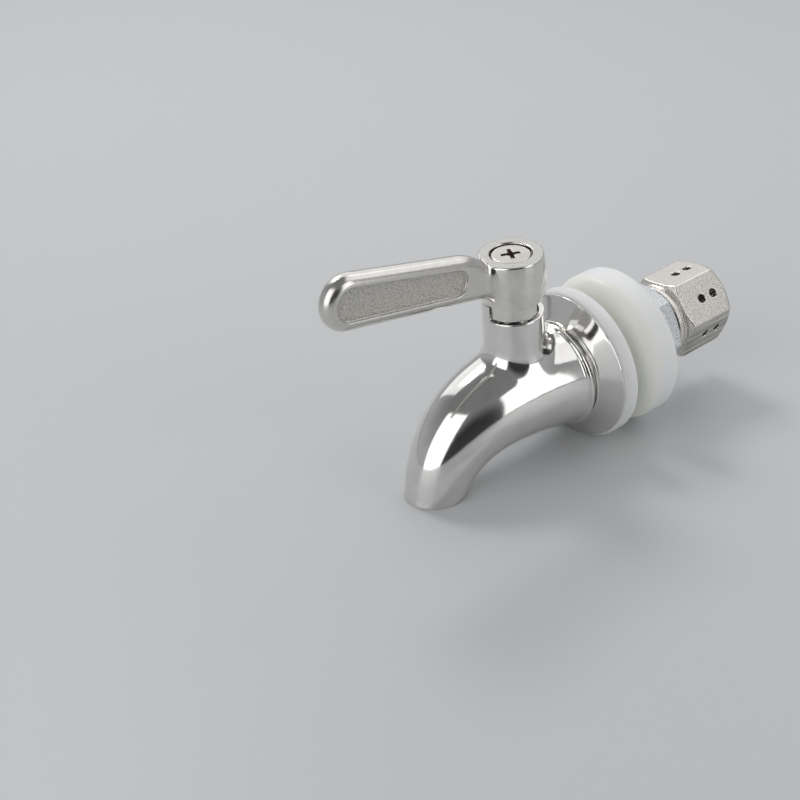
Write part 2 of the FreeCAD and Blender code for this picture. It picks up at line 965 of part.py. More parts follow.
def make_spout_body():
    body = new_body("spout_body")
    cast_spout(body)
    cast_neck(body)
    add_bead(body)
    cut_mouth(body)
    bore_passage(body)
    bore_valve_chamber(body)
    bore_neck(body)
    cut_rim_step(body)
    return body


# Lever: hub over the stem, stop lug and a paddle with a cast recess each side
def make_lever():
    body = new_body("lever", across=-dim.valve_setback)
    make_paddle(body)
    add_hub(body)
    add_lug(body)
    add_root_flare(body)
    cut_recesses(body)
    cut_hub_bores(body)
    return body


def paddle_tangent(radius, rise, side):
    """Where a straight edge of the paddle meets a circle about the tip's centre."""
    x = -(dim.plate_reach - dim.plate_tip_radius) + radius * sine(rise) * side
    y = dim.plate_tip_height + radius * cosine(rise) * side
    return x, y


def make_paddle(body):
    sketch = new_sketch(body, "PaddleOutline", "YZ_Plane")
    tip = dim.plate_tip_radius
    below = paddle_tangent(tip, dim.plate_bottom_rise, -1)
    above = paddle_tangent(tip, dim.plate_top_rise, 1)
    nose = (-dim.plate_reach, dim.plate_tip_height)
    top_slope = sine(dim.plate_top_rise) / cosine(dim.plate_top_rise)
    bottom_slope = sine(dim.plate_bottom_rise) / cosine(dim.plate_bottom_rise)
    shoulder = -dim.plate_root_reach
    shoulder_height = above[1] - top_slope * (shoulder - above[0])
    root_height = dim.hub_top - dim.plate_root_drop
    inside = -(dim.screw_recess_diameter / 2 + dim.free_clearance * 3)
    inside_height = below[1] - bottom_slope * (inside - below[0])

    # the top edge leaves its straight part along an arc that ends inside the hub
    root_reach = dim.hub_top_radius - dim.plate_root_sink
    down_y = -root_reach - shoulder
    down_z = root_height - shoulder_height
    lean = down_y * sine(dim.plate_top_rise) + down_z * cosine(dim.plate_top_rise)
    root_radius = (down_y * down_y + down_z * down_z) / (lean * 2)
    outline(
        sketch,
        [
            (inside, inside_height),
            below,
            nose,
            above,
            (shoulder, shoulder_height),
            (-root_reach, root_height),
            (inside, root_height),
        ],
        arcs={1: -tip, 2: -tip, 4: root_radius},
    )
    plate = pad(body, "Paddle", sketch, dim.plate_thickness, middle=True)
    half = dim.plate_thickness.value / 2
    inner = inside.value

    def long_edges(edge):
        box = edge.BoundBox
        flat = box.XLength < 0.01 and abs(abs(box.XMax) - half) < 0.01
        return flat and box.YMin < inner - 1.0

    return round_edges(body, "PaddleEdges", plate, long_edges, dim.plate_edge)


def add_hub(body):
    edge = dim.hub_edge
    sketch = new_sketch(body, "HubProfile")
    outline(
        sketch,
        [
            (0, dim.hub_bottom),
            (dim.hub_bottom_radius - edge, dim.hub_bottom),
            (dim.hub_bottom_radius, dim.hub_bottom + edge),
            (dim.hub_top_radius, dim.hub_top - edge),
            (dim.hub_top_radius - edge, dim.hub_top),
            (0, dim.hub_top),
        ],
        arcs={1: edge, 2: dim.hub_barrel_radius, 3: edge},
    )
    revolve(body, "Hub", sketch)


def add_lug(body):
    """A ring segment under the hub that stops against the neck's step."""
    sketch = new_sketch(body, "LugOutline", "XY_Plane", lift=dim.hub_bottom - dim.lug_drop)
    inner = dim.lug_inner_radius
    outer = dim.hub_bottom_radius
    start = dim.lug_start
    finish = dim.lug_start + dim.lug_sweep
    outline(
        sketch,
        [
            (inner * cosine(start), inner * sine(start)),
            (outer * cosine(start), outer * sine(start)),
            (outer * cosine(finish), outer * sine(finish)),
            (inner * cosine(finish), inner * sine(finish)),
        ],
        arcs={1: outer, 3: -inner},
    )
    lug = pad(body, "Lug", sketch, dim.lug_drop + dim.hub_edge * 2)
    foot = (dim.hub_bottom - dim.lug_drop).value
    middle = (start + finish).value / 2

    def trailing_edge(edge):
        box = edge.BoundBox
        level = box.ZLength < 0.01 and abs(box.ZMin - foot) < 0.01
        straight = isinstance(edge.Curve, Part.Line)
        angle = math.degrees(math.atan2(box.Center.y, box.Center.x))
        return level and straight and angle > middle

    round_edges(body, "LugEdge", lug, trailing_edge, dim.lug_rounding)


def flare_section(body, number, away, half, low, high):
    """A box with round corners, square to the paddle."""
    corner = dim.root_flare_rounding
    sketch = new_sketch(body, f"FlareSection{number}", "XZ_Plane", lift=away)
    outline(
        sketch,
        [
            (half, low + corner),
            (half, high - corner),
            (half - corner, high),
            (corner - half, high),
            (-half, high - corner),
            (-half, low + corner),
            (corner - half, low),
            (half - corner, low),
        ],
        arcs={1: corner, 3: corner, 5: corner, 7: corner},
    )
    return sketch


def add_root_flare(body):
    """The paddle's root, which widens on both sides until it meets the hub."""
    radius = dim.root_flare_radius
    height = dim.hub_top - dim.hub_bottom - dim.hub_edge * 2
    bulge = height * height / (dim.hub_barrel_radius * 8)
    hub = (dim.hub_top_radius + dim.hub_bottom_radius) / 2 + bulge
    across = dim.plate_thickness / 2 + radius
    reach = hub + radius
    away = root(reach * reach - across * across)
    turn = angle_of(away, across)

    below = paddle_tangent(dim.plate_tip_radius, dim.plate_bottom_rise, -1)
    above = paddle_tangent(dim.plate_tip_radius, dim.plate_top_rise, 1)
    bottom_slope = sine(dim.plate_bottom_rise) / cosine(dim.plate_bottom_rise)
    top_slope = sine(dim.plate_top_rise) / cosine(dim.plate_top_rise)
    shoulder_height = above[1] + top_slope * (above[0] + dim.plate_root_reach)
    root_height = dim.hub_top - dim.plate_root_drop
    root_reach = dim.hub_top_radius - dim.plate_root_sink
    chord = (shoulder_height - root_height) / (dim.plate_root_reach - root_reach)

    places = []
    for share in FLARE_SECTIONS:
        part_turn = turn * share
        sunk = dim.free_clearance * (1 - share)
        half = across - radius * cosine(part_turn) - sunk
        places.append((away - radius * sine(part_turn), half, share))
    places.append((hub * FLARE_END[0], hub * FLARE_END[1], 1.0))

    sections = []
    for number, (distance, half, share) in enumerate(places, start=1):
        inset = dim.plate_edge * (1 - share) + dim.root_flare_inset * share
        low = below[1] + bottom_slope * (below[0] + distance) + inset
        high = root_height + chord * (distance - root_reach) - inset
        sections.append(flare_section(body, number, distance, half, low, high))
    loft(body, "RootFlare", sections)


def cut_recesses(body):
    """A shallow recess on each side, that keeps one border along the paddle."""
    tip = dim.plate_tip_radius - dim.recess_border
    centre = -(dim.plate_reach - dim.plate_tip_radius)
    middle = (dim.plate_top_rise + dim.plate_bottom_rise) / 2
    spread = (dim.plate_top_rise - dim.plate_bottom_rise) / 2
    run = (-dim.recess_root - centre) / cosine(middle)
    root_end = tip - run * sine(spread)
    root_y = -dim.recess_root
    root_z = dim.plate_tip_height - run * sine(middle)
    top, bottom = dim.plate_top_rise, dim.plate_bottom_rise
    corners = [
        (root_y - root_end * sine(bottom), root_z - root_end * cosine(bottom)),
        paddle_tangent(tip, bottom, -1),
        (centre - tip, dim.plate_tip_height),
        paddle_tangent(tip, top, 1),
        (root_y + root_end * sine(top), root_z + root_end * cosine(top)),
    ]
    for name, side in (("Right", 1), ("Left", -1)):
        face = dim.plate_thickness / 2 * side
        sketch = new_sketch(body, f"{name}Recess", "YZ_Plane", lift=face)
        outline(sketch, corners, arcs={1: -tip, 2: -tip, 4: -root_end})
        pocket(body, f"{name}Pocket", sketch, dim.recess_depth, back=side < 0)


def cut_hub_bores(body):
    recess = new_sketch(body, "ScrewRecess", "XY_Plane", lift=dim.hub_top)
    circle(recess, dim.screw_recess_diameter / 2)
    pocket(body, "ScrewPocket", recess, SCREW_RECESS_DEPTH)

    # the double-D hole drives the stem
    round_half = dim.stem_shaft_diameter / 2 + dim.fit_clearance
    flat_half = dim.stem_flats / 2 + dim.fit_clearance
    corner = root(round_half * round_half - flat_half * flat_half)
    drive = new_sketch(body, "DriveHole", "XY_Plane", lift=dim.hub_top)
    outline(
        drive,
        [
            (flat_half, -corner),
            (flat_half, corner),
            (-flat_half, corner),
            (-flat_half, -corner),
        ],
        arcs={1: round_half, 3: round_half},
    )
    pocket(body, "Drive", drive)
    entry = new_sketch(body, "StemEntry", "XY_Plane", lift=dim.stem_seat)
    circle(entry, round_half)
    pocket(body, "Entry", entry)


def make_lever_screw():
    body = new_body("lever_screw", across=-dim.valve_setback, up=SCREW_UNDER_HEAD)
    head = dim.screw_head_diameter / 2
    thread = dim.screw_thread / 2 - dim.fit_clearance
    blank = turned(
        body,
        "Screw",
        [
            (0, -dim.screw_length),
            (thread, -dim.screw_length),
            (thread, 0),
            (head, 0),
            (head, dim.screw_head_height),
            (0, dim.screw_head_height),
        ],
    )
    round_edges(
        body,
        "HeadEdge",
        blank,
        ring_at(head, dim.screw_head_height),
        dim.hub_edge,
    )
    arm = dim.cross_length / 2
    half = dim.cross_width / 2
    sketch = new_sketch(
        body, "CrossOutline", "XY_Plane", lift=dim.screw_head_height
    )
    sketch.AttachmentOffset = Placement(
        sketch.AttachmentOffset.Base,
        Rotation(Vector(0, 0, 1), dim.cross_angle.value),
    )
    sketch.setExpression("AttachmentOffset.Rotation.Angle", dim.cross_angle.text)
    corners = []
    quarter = [(half, half), (half, arm), (-half, arm)]
    for turn in range(4):
        corners += quarter
        quarter = [(-y, x) for x, y in quarter]
    outline(sketch, corners)
    pocket(body, "Cross", sketch, dim.cross_depth)
    return body


def make_spring_washer():
    body = new_body("spring_washer", across=-dim.valve_setback, up=SCREW_SEAT)
    inner = dim.screw_thread / 2 + dim.fit_clearance
    outer = dim.spring_washer_diameter / 2
    height = dim.spring_washer_thickness
    turned(
        body,
        "Ring",
        [(inner, 0), (outer, 0), (outer, height), (inner, height)],
    )
    sketch = new_sketch(body, "SplitOutline", "XY_Plane", lift=height)
    half = dim.cross_width / 4
    box_outline(sketch, 0, outer * 1.1, -half, half)
    pocket(body, "Split", sketch)
    return body


# Nut and filter cap on the shank
def make_lock_nut():
    body = new_body("lock_nut", FORWARD_TO_BACK, across=NUT_FRONT)
    sketch = new_sketch(body, "HexOutline", "XY_Plane")
    hexagon(sketch, dim.nut_across_flats, -dim.nut_angle)
    pad(body, "Hex", sketch, dim.nut_height)
    flats = dim.nut_across_flats
    bevel_corners(body, "FrontBevel", flats, as_size(0), dim.hex_rim, -dim.hex_bevel)
    bevel_corners(body, "RearBevel", flats, dim.nut_height, dim.hex_rim, dim.hex_bevel)
    bore = new_sketch(body, "Bore", "XY_Plane", lift=dim.nut_height)
    circle(bore, THREAD_BORE_RADIUS)
    pocket(body, "Thread", bore)
    return body


def make_filter_cap():
    body = new_body("filter_cap", FORWARD_TO_BACK, across=CAP_FRONT)
    collar = dim.cap_collar_length
    end = collar + dim.cap_hex_length
    collar_outline = new_sketch(body, "CollarOutline", "XY_Plane")
    circle(collar_outline, dim.cap_collar_diameter / 2)
    pad(body, "Collar", collar_outline, collar)
    hex_outline = new_sketch(body, "HexOutline", "XY_Plane", lift=collar)
    hexagon(hex_outline, dim.cap_across_flats, -dim.cap_angle)
    pad(body, "Hex", hex_outline, dim.cap_hex_length)
    flats = dim.cap_across_flats
    bevel_corners(body, "FrontBevel", flats, collar, dim.hex_rim, -dim.hex_bevel)
    bevel_corners(body, "RearBevel", flats, end, dim.cap_end_rim, dim.cap_end_bevel)
    turned(
        body,
        "Bore",
        [
            (0, 0),
            (THREAD_BORE_RADIUS, 0),
            (THREAD_BORE_RADIUS, end - dim.cap_end_wall),
            (0, end - dim.cap_end_wall),
        ],
        cut=True,
    )

    # two fine turned grooves round the collar
    radius = dim.cap_collar_diameter / 2
    floor = radius - dim.cap_groove_depth
    for step in range(2):
        low = dim.cap_groove_width + dim.cap_groove_pitch * step
        high = low + dim.cap_groove_width
        outside = radius + dim.cap_groove_depth
        turned(
            body,
            f"CollarGroove{step}",
            [(floor, low), (outside, low), (outside, high), (floor, high)],
            cut=True,
        )

    # two holes on each flat let the liquid in
    holes = new_sketch(body, "HoleOutline", "XZ_Plane")
    face_turn = -dim.cap_angle
    holes.AttachmentOffset = Placement(
        Vector(0, 0, 0), Rotation(Vector(0, 1, 0), face_turn.value)
    )
    holes.setExpression("AttachmentOffset.Rotation.Angle", face_turn.text)
    for step in range(2):
        height = dim.cap_first_hole + dim.cap_hole_pitch * step
        circle(holes, dim.cap_hole_diameter / 2, 0, height)
    drilled = pocket(body, "Holes", holes)
    pattern = body.newObject("PartDesign::PolarPattern", "HolePattern")
    pattern.Originals = [drilled]
    pattern.Axis = (holes, ["V_Axis"])
    pattern.Angle = 360
    pattern.Occurrences = 6
    body.Tip = pattern
    return body


def make_stem_o_rings():
    rings = []
    radius = (dim.stem_diameter - dim.o_ring_section) / 2
    for name, step in (("stem_o_ring_lower", 0), ("stem_o_ring_upper", 1)):
        groove = dim.lower_groove + dim.groove_pitch * step
        height = groove + dim.o_ring_groove_width / 2
        rings.append(
            make_o_ring(name, radius, Rotation(), -dim.valve_setback, height)
        )
    return rings


def make_shank_o_ring():
    radius = (dim.shank_head_diameter - dim.o_ring_section) / 2
    middle = HEAD_FRONT + dim.shank_head_length / 2
    return make_o_ring("shank_o_ring", radius, FORWARD_TO_BACK, middle)


def check_document(parts):
    """Stops the build where any feature failed or any part is not a sound solid."""
    doc.recompute()
    for feature in doc.Objects:
        if "Invalid" in feature.State or "Error" in feature.State:
            raise RuntimeError(f"{feature.Name} failed: {feature.State}")
    for part in parts:
        shape = part.Shape
        if shape.isNull() or not shape.isValid() or len(shape.Solids) != 1:
            raise RuntimeError(f"{part.Label} is not one valid solid")


def check_cut(feature):
    """Stops the build where a cut removed nothing."""
    before = feature.BaseFeature.Shape.Volume
    if feature.Shape.Volume > before - SMALLEST_CUT:
        raise RuntimeError(f"{feature.Name} cut nothing")


def main():
    parts = [
        make_spout_body(),
        make_flange(),
        make_shank(),
        make_shank_o_ring(),
        make_front_washer(),
        make_rear_washer(),
        make_lock_nut(),
        make_filter_cap(),
        make_seat("ball_seat_front", FORWARD_TO_BACK, CHAMBER_FRONT),
        make_seat("ball_seat_rear", BACK_TO_FORWARD, RETAINER_FRONT),
        make_retainer(),
        make_ball(),
        make_stem(),
        *make_stem_o_rings(),
        make_thrust_washer(),
        make_gland_nut(),
        make_lever(),
        make_lever_screw(),
        make_spring_washer(),
    ]
    check_document(parts)
    for part in parts:
        for feature in getattr(part, "Group", []):
            if feature.TypeId in CUTTING_TYPES:
                check_cut(feature)
    os.makedirs("parts", exist_ok=True)
    for part in parts:
        part.Shape.exportStep(f"parts/{part.Label}.step")


main()
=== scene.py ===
import json
import math

import bpy
import numpy as np
from mathutils import Matrix, Vector


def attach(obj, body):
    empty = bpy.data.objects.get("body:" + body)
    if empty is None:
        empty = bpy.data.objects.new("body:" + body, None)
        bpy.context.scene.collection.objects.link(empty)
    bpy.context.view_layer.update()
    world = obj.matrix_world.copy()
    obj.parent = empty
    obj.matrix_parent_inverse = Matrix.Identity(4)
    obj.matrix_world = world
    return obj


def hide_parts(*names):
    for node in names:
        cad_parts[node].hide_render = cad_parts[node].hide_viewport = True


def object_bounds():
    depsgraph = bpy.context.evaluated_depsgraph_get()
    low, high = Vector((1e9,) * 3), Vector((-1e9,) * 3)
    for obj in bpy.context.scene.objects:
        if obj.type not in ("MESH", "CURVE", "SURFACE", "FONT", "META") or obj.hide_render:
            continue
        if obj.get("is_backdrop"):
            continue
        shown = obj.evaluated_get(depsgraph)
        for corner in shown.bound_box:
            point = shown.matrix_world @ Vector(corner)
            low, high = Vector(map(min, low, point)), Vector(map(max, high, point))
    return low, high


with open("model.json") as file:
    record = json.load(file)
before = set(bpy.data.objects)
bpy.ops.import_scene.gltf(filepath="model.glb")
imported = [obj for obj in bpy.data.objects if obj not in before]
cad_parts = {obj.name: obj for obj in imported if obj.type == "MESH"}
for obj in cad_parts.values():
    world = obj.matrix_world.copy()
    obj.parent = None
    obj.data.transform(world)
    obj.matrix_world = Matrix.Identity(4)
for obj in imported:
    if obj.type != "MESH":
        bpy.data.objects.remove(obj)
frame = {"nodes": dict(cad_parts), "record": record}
cad_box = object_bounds()

# Sizes and places are in millimetres in the CAD's frame, where it isn't said otherwise
MM = 0.001

# Places along the shank's axis, from the wall plane
CHAMBER_FRONT = -27.1
VALVE_Y = -20.1
HEAD_FRONT = -11.5
REAR_END = -7.7
WASHER_FRONT = -3.7
NUT_FRONT = 12.2
NUT_REAR = 21.8
CAP_FRONT = 22.6
CAP_HEX = 24.6
SHANK_REAR = 29.4
CAP_REAR = 38.6

# Radius of the holes in the flange and washers, and for each washer the places of its faces, its
# radius and the rounding of its front edge
WALL_HOLE = 6.25
FRONT_WASHER = (WASHER_FRONT, 0.0, 17.5, 0.5)
REAR_WASHER = (3.8, NUT_FRONT, 17.6, 3.7)

# Spout: centreline in the plane x = 0, as (y, z), and its radii at the start, middle and end
SPOUT_LINE = ((-7.7, 0.0), (-24.2, 2.8), (-39.5, 2.7), (-44.7, -14.5))
SPOUT_RADII = (11.6, 10.6, 6.7)
MOUTH_Y = -44.7
MOUTH_Z = -14.5
MOUTH_RADIUS = 5.1
MOUTH_DEPTH = 4.2
PASSAGE_RADIUS = 4.6
PASSAGE_START = 0.47  # as a share of the centreline
CHAMBER_RADIUS = 7.2
COUNTERBORE_RADIUS = 8.15

# Raised bead round the body's rear end
BEAD_Y = -8.5
BEAD_REACH = 11.45
BEAD_RADIUS = 0.82

# Neck, the steps of its bore as (radius, bottom), and its lower rim on one side
NECK_RADIUS = 6.75
NECK_TOP = 24.5
NECK_FILLET = 3.2
NECK_BORES = ((3.4, 0.0), (4.35, 8.4), (5.25, 15.4))
LOW_RIM = 21.3
LOW_RIM_REACH = 9

# Lever's hub, a barrel: the square of the height from its middle, over HUB_BULGE, narrows it
HUB_BOTTOM = 24.9
HUB_TOP = 35.0
HUB_TOP_RADIUS = 7.15
HUB_RADIUS = 7.36
HUB_MIDDLE = 29.8
HUB_BULGE = 60.0
HUB_FILLET = 2.4

# Stop lug under the hub, between two angles in degrees
LUG_ANGLES = (-81.0, 7.0)
LUG_RADIUS = 7.1
LUG_INSIDE = 5.4
LUG_BOTTOM = 22.05
LUG_CORNER = 2.2

# Holes in the hub: the screw's recess and the stem's hole with its two flats
RECESS_RADIUS = 4.55
RECESS_BOTTOM = 31.8
STEM_RADIUS = 3.05
STEM_FLAT = 2.35
STEM_FLATS_BOTTOM = 26.0

# Paddle: places as (distance from the stem, height), and radii. The crown is the arc of its top
# edge near the root, as far as a line through the arc's centre, across the normal
PLATE_HALF = 2.3
PLATE_EDGE = 2.2
PLATE_START = 4.0
TIP = (42.25, 40.8)
TIP_RADIUS = 6.05
ROOT = (0.0, 31.05)
ROOT_RADIUS = 4.84
CROWN = (17.62, 26.9)
CROWN_RADIUS = 13.3
CROWN_NORMAL = (0.9678, 0.252)
HOLLOW_ROOT = (16.3, 34.81)
HOLLOW_ROOT_RADIUS = 2.96
HOLLOW_TIP_RADIUS = TIP_RADIUS - 2.35
HOLLOW_DEPTH = 0.85

# Hexagons of the nut and cap: width over the flats, angle of a corner in degrees, radii of the
# bevels at the front and rear faces, and the rear bevel's slope in radians
CAP_PHASE = 9.0
NUT_HEXAGON = (18.5, -6.0, 9.15, 9.15, 0.5)
CAP_HEXAGON = (18.0, CAP_PHASE, 8.95, 8.7, 0.72)
FRONT_BEVEL = (0.56, 0.83)  # its normal, outwards and forwards

# Cap: its collar with a groove as (distance from the axis, y) and radius, its inlet holes along the
# axis, and the thickness of its end
COLLAR_RADIUS = 8.5
COLLAR_GROOVE = (8.55, 24.1)
COLLAR_GROOVE_RADIUS = 0.22
CAP_HOLES = (31.0, 34.7)
CAP_HOLE_RADIUS = 1.0
CAP_END = 1.8

# Shank's thread, and the bores that take it
PITCH = 1.75
THREAD_RADIUS = 6.0
THREAD_START = -7.6
THREAD_DEPTH = 0.9
THREAD_BORE = 6.05
CAP_THREAD_DEPTH = 0.45
SHANK_BORE = 3.5
SHANK_HEAD_RADIUS = 8.1
O_RING_GROOVE = (6.9, -10.3, -8.9)  # its radius, front and rear

# Lever screw: a domed head on a shaft, with a cross recess that narrows downwards
SCREW_TOP = 34.8
SCREW_DOME = 0.008
SCREW_RADIUS = 4.2
SCREW_HEAD_BOTTOM = 32.6
SHAFT_RADIUS = 1.95
SHAFT_ENDS = (24.1, 33)
CROSS_TURN = -27
CROSS_HALF = 0.42
CROSS_REACH = 2.15
CROSS_CORE = 0.95
CROSS_DEPTH = 1.4
CROSS_TAPER = 0.35


def smallest(a, b, blend):
    """The union of two fields, rounded over blend millimetres."""
    mix = np.clip(0.5 + 0.5 * (b - a) / blend, 0, 1)
    return b + (a - b) * mix - blend * mix * (1 - mix)


def largest(a, b, blend):
    """The overlap of two fields, rounded over blend millimetres."""
    return -smallest(-a, -b, blend)


def rounded_corner(a, b, radius):
    """The overlap of two fields, with an arc of a radius where they meet."""
    u, v = a + radius, b + radius
    return np.hypot(np.maximum(u, 0), np.maximum(v, 0)) + np.minimum(np.maximum(u, v), 0) - radius


def bezier(line, t):
    """Place on a cubic curve."""
    rest = 1 - t
    weights = (rest**3, 3 * rest**2 * t, 3 * rest * t**2, t**3)
    return [sum(w * p[axis] for w, p in zip(weights, line)) for axis in range(2)]


def bezier_all(line, t):
    """Place, velocity and acceleration of a cubic curve."""
    rest = 1 - t
    first = [(3 * (b[0] - a[0]), 3 * (b[1] - a[1])) for a, b in zip(line, line[1:])]
    weights = (rest**2, 2 * rest * t, t**2)
    run = [sum(w * p[axis] for w, p in zip(weights, first)) for axis in range(2)]
    second = [(2 * (b[0] - a[0]), 2 * (b[1] - a[1])) for a, b in zip(first, first[1:])]
    turn = [rest * second[0][axis] + t * second[1][axis] for axis in range(2)]
    return bezier(line, t), run, turn


def from_curve(line, y, z, low=0.0, high=1.2):
    """For points (y, z): the offset from a cubic centreline, and the share there."""
    best = np.full(y.shape, np.inf)
    share = np.zeros_like(y)
    for t in np.linspace(low, high, 25):
        cy, cz = bezier(line, t)
        gap = (y - cy) ** 2 + (z - cz) ** 2
        closer = gap < best
        best[closer] = gap[closer]
        share[closer] = t
    for _ in range(5):
        (cy, cz), (vy, vz), (ay, az) = bezier_all(line, share)
        gy, gz = cy - y, cz - z
        slope = gy * vy + gz * vz
        speed = vy * vy + vz * vz
        curve = speed + gy * ay + gz * az
        share = np.clip(share - slope / np.where(curve > 1, curve, speed), low, high)
    cy, cz = bezier(line, share)
    return np.hypot(y - cy, z - cz), share


def quadratic(values, t):
    """A value that starts at the first of three, leans to the second and ends at the third."""
    rest = 1 - t
    return values[0] * rest**2 + values[1] * 2 * rest * t + values[2] * t**2


# Fields of points (x, y, z), negative inside the metal
def spout_field(x, y, z):
    """The spout's outside."""
    flat, share = from_curve(SPOUT_LINE, y, z)
    return np.hypot(flat, x) - quadratic(SPOUT_RADII, np.minimum(share, 1))


def body_field(p):
    x, y, z = p
    around = np.hypot(x, y - VALVE_Y)
    neck = np.maximum(around - NECK_RADIUS, -z)
    neck = largest(neck, z - NECK_TOP, 0.3)
    solid = smallest(spout_field(x, y, z), neck, NECK_FILLET)

    # the bead, the flat rear face and the level mouth
    off_axis = np.hypot(x, z)
    bead = np.hypot(off_axis - BEAD_REACH, y - BEAD_Y) - BEAD_RADIUS
    solid = smallest(solid, bead, 0.15)
    solid = largest(solid, y - REAR_END, 0.25)
    solid = largest(solid, MOUTH_Z - z, 0.5)

    # valve chamber, shank counterbore and the passage to the mouth
    chamber = np.maximum(off_axis - CHAMBER_RADIUS, CHAMBER_FRONT - y)
    counterbore = np.maximum(off_axis - COUNTERBORE_RADIUS, HEAD_FRONT - y)
    hollow = np.minimum(chamber, counterbore)
    offset, share = from_curve(SPOUT_LINE, y, z, PASSAGE_START - 0.02)
    passage = np.maximum(np.hypot(offset, x) - PASSAGE_RADIUS, PASSAGE_START - share)
    mouth = np.hypot(x, y - MOUTH_Y) - MOUTH_RADIUS
    mouth = np.maximum(mouth, z - (MOUTH_Z + MOUTH_DEPTH))
    hollow = np.minimum(hollow, smallest(passage, mouth, 0.8))

    # stepped bore up the neck, and the lowered rim on one side
    for radius, bottom in NECK_BORES:
        hollow = np.minimum(hollow, np.maximum(around - radius, bottom - z))
    cut = np.maximum(LOW_RIM - z, -x)
    hollow = np.minimum(hollow, np.maximum(cut, around - LOW_RIM_REACH))
    return largest(solid, -hollow, 0.25)


def plate_outline(d, z, root, root_radius, tip, tip_radius):
    """Flat field of a strip whose round ends have different radii."""
    run = (tip[0] - root[0], tip[1] - root[1])
    length = math.hypot(*run)
    ux, uz = run[0] / length, run[1] / length
    along = (d - root[0]) * ux + (z - root[1]) * uz
    across = np.abs(-(d - root[0]) * uz + (z - root[1]) * ux)
    lean = (root_radius - tip_radius) / length
    upright = math.sqrt(1 - lean * lean)
    side = across * upright + along * lean - root_radius
    before = np.hypot(along, across) - root_radius
    after = np.hypot(along - length, across) - tip_radius
    position = along * upright - across * lean
    return np.where(position < 0, before, np.where(position > length * upright, after, side))


def hollow_outline(d, z):
    """Flat field of the cast hollow in each face of the paddle."""
    return plate_outline(d, z, HOLLOW_ROOT, HOLLOW_ROOT_RADIUS, TIP, HOLLOW_TIP_RADIUS)


def lever_field(p):
    x, y, z = p
    d = VALVE_Y - y
    outline = plate_outline(d, z, ROOT, ROOT_RADIUS, TIP, TIP_RADIUS)
    crown = np.hypot(d - CROWN[0], z - CROWN[1]) - CROWN_RADIUS
    root_side = (d - CROWN[0]) * CROWN_NORMAL[0] + (z - CROWN[1]) * CROWN_NORMAL[1] < 0
    outline = np.where(root_side, np.maximum(outline, crown), outline)
    outline = np.maximum(outline, PLATE_START - d)
    plate = rounded_corner(outline, np.abs(x) - PLATE_HALF, PLATE_EDGE)

    # cast hollow in both faces
    floor = PLATE_HALF - HOLLOW_DEPTH - np.abs(x)
    plate = largest(plate, -largest(hollow_outline(d, z), floor, 0.15), 0.15)

    # barrel-shaped hub with a flat top
    around = np.hypot(x, d)
    height = np.clip(z, HUB_BOTTOM, HUB_TOP)
    barrel = HUB_RADIUS - (height - HUB_MIDDLE) ** 2 / HUB_BULGE
    solid = smallest(around - barrel, plate, HUB_FILLET)
    top = np.maximum(HUB_TOP - z, around - HUB_TOP_RADIUS)
    solid = largest(solid, -top, 0.35)

    # stop lug, with one rounded corner
    angle = np.degrees(np.arctan2(y - VALVE_Y, x))
    back = np.radians(LUG_ANGLES[0] - angle) * LUG_RADIUS
    front = np.radians(angle - LUG_ANGLES[1]) * LUG_RADIUS
    lug = largest(rounded_corner(front, LUG_BOTTOM - z, LUG_CORNER), back, 0.4)
    lug = np.maximum(lug, LUG_INSIDE - around)
    solid = largest(solid, np.minimum(HUB_BOTTOM - z, lug), 0.5)

    # screw recess and the hole for the stem
    hollow = np.maximum(around - RECESS_RADIUS, RECESS_BOTTOM - z)
    hollow = np.minimum(hollow, np.maximum(around - STEM_RADIUS, np.abs(x) - STEM_FLAT))
    hollow = np.minimum(hollow, np.maximum(around - STEM_RADIUS, z - STEM_FLATS_BOTTOM))
    return largest(solid, -hollow, 0.25)


def face_turns(phase):
    """The directions that a hexagon's faces look, with a corner at phase degrees."""
    return [math.radians(phase + 30 + 60 * face) for face in range(6)]


def bevelled_hex(p, front, rear, flats, phase, front_rim, rear_rim, rear_slope):
    """A hexagonal prism along Y, with its corners turned down at both ends."""
    x, y, z = p
    field = np.full(x.shape, -1e3)
    for turn in face_turns(phase):
        field = largest(field, x * math.cos(turn) + z * math.sin(turn) - flats / 2, 0.22)
    off_axis = np.hypot(x, z)
    front_cone = (off_axis - front_rim) * FRONT_BEVEL[0] + (front - y) * FRONT_BEVEL[1]
    rear_cone = (off_axis - rear_rim) * math.sin(rear_slope) + (y - rear) * math.cos(rear_slope)
    field = largest(field, front_cone, 0.25)
    field = largest(field, rear_cone, 0.35)
    field = largest(field, front - y, 0.2)
    return largest(field, y - rear, 0.35)


def nut_field(p):
    field = bevelled_hex(p, NUT_FRONT, NUT_REAR, *NUT_HEXAGON)
    return largest(field, THREAD_BORE - np.hypot(p[0], p[2]), 0.3)


def from_groove(y, turn):
    """Where a place is on the thread, from 0 in its groove to 1 on its crest."""
    phase = (y / PITCH + turn / (2 * math.pi)) % 1.0
    return abs(phase * 2 - 1)


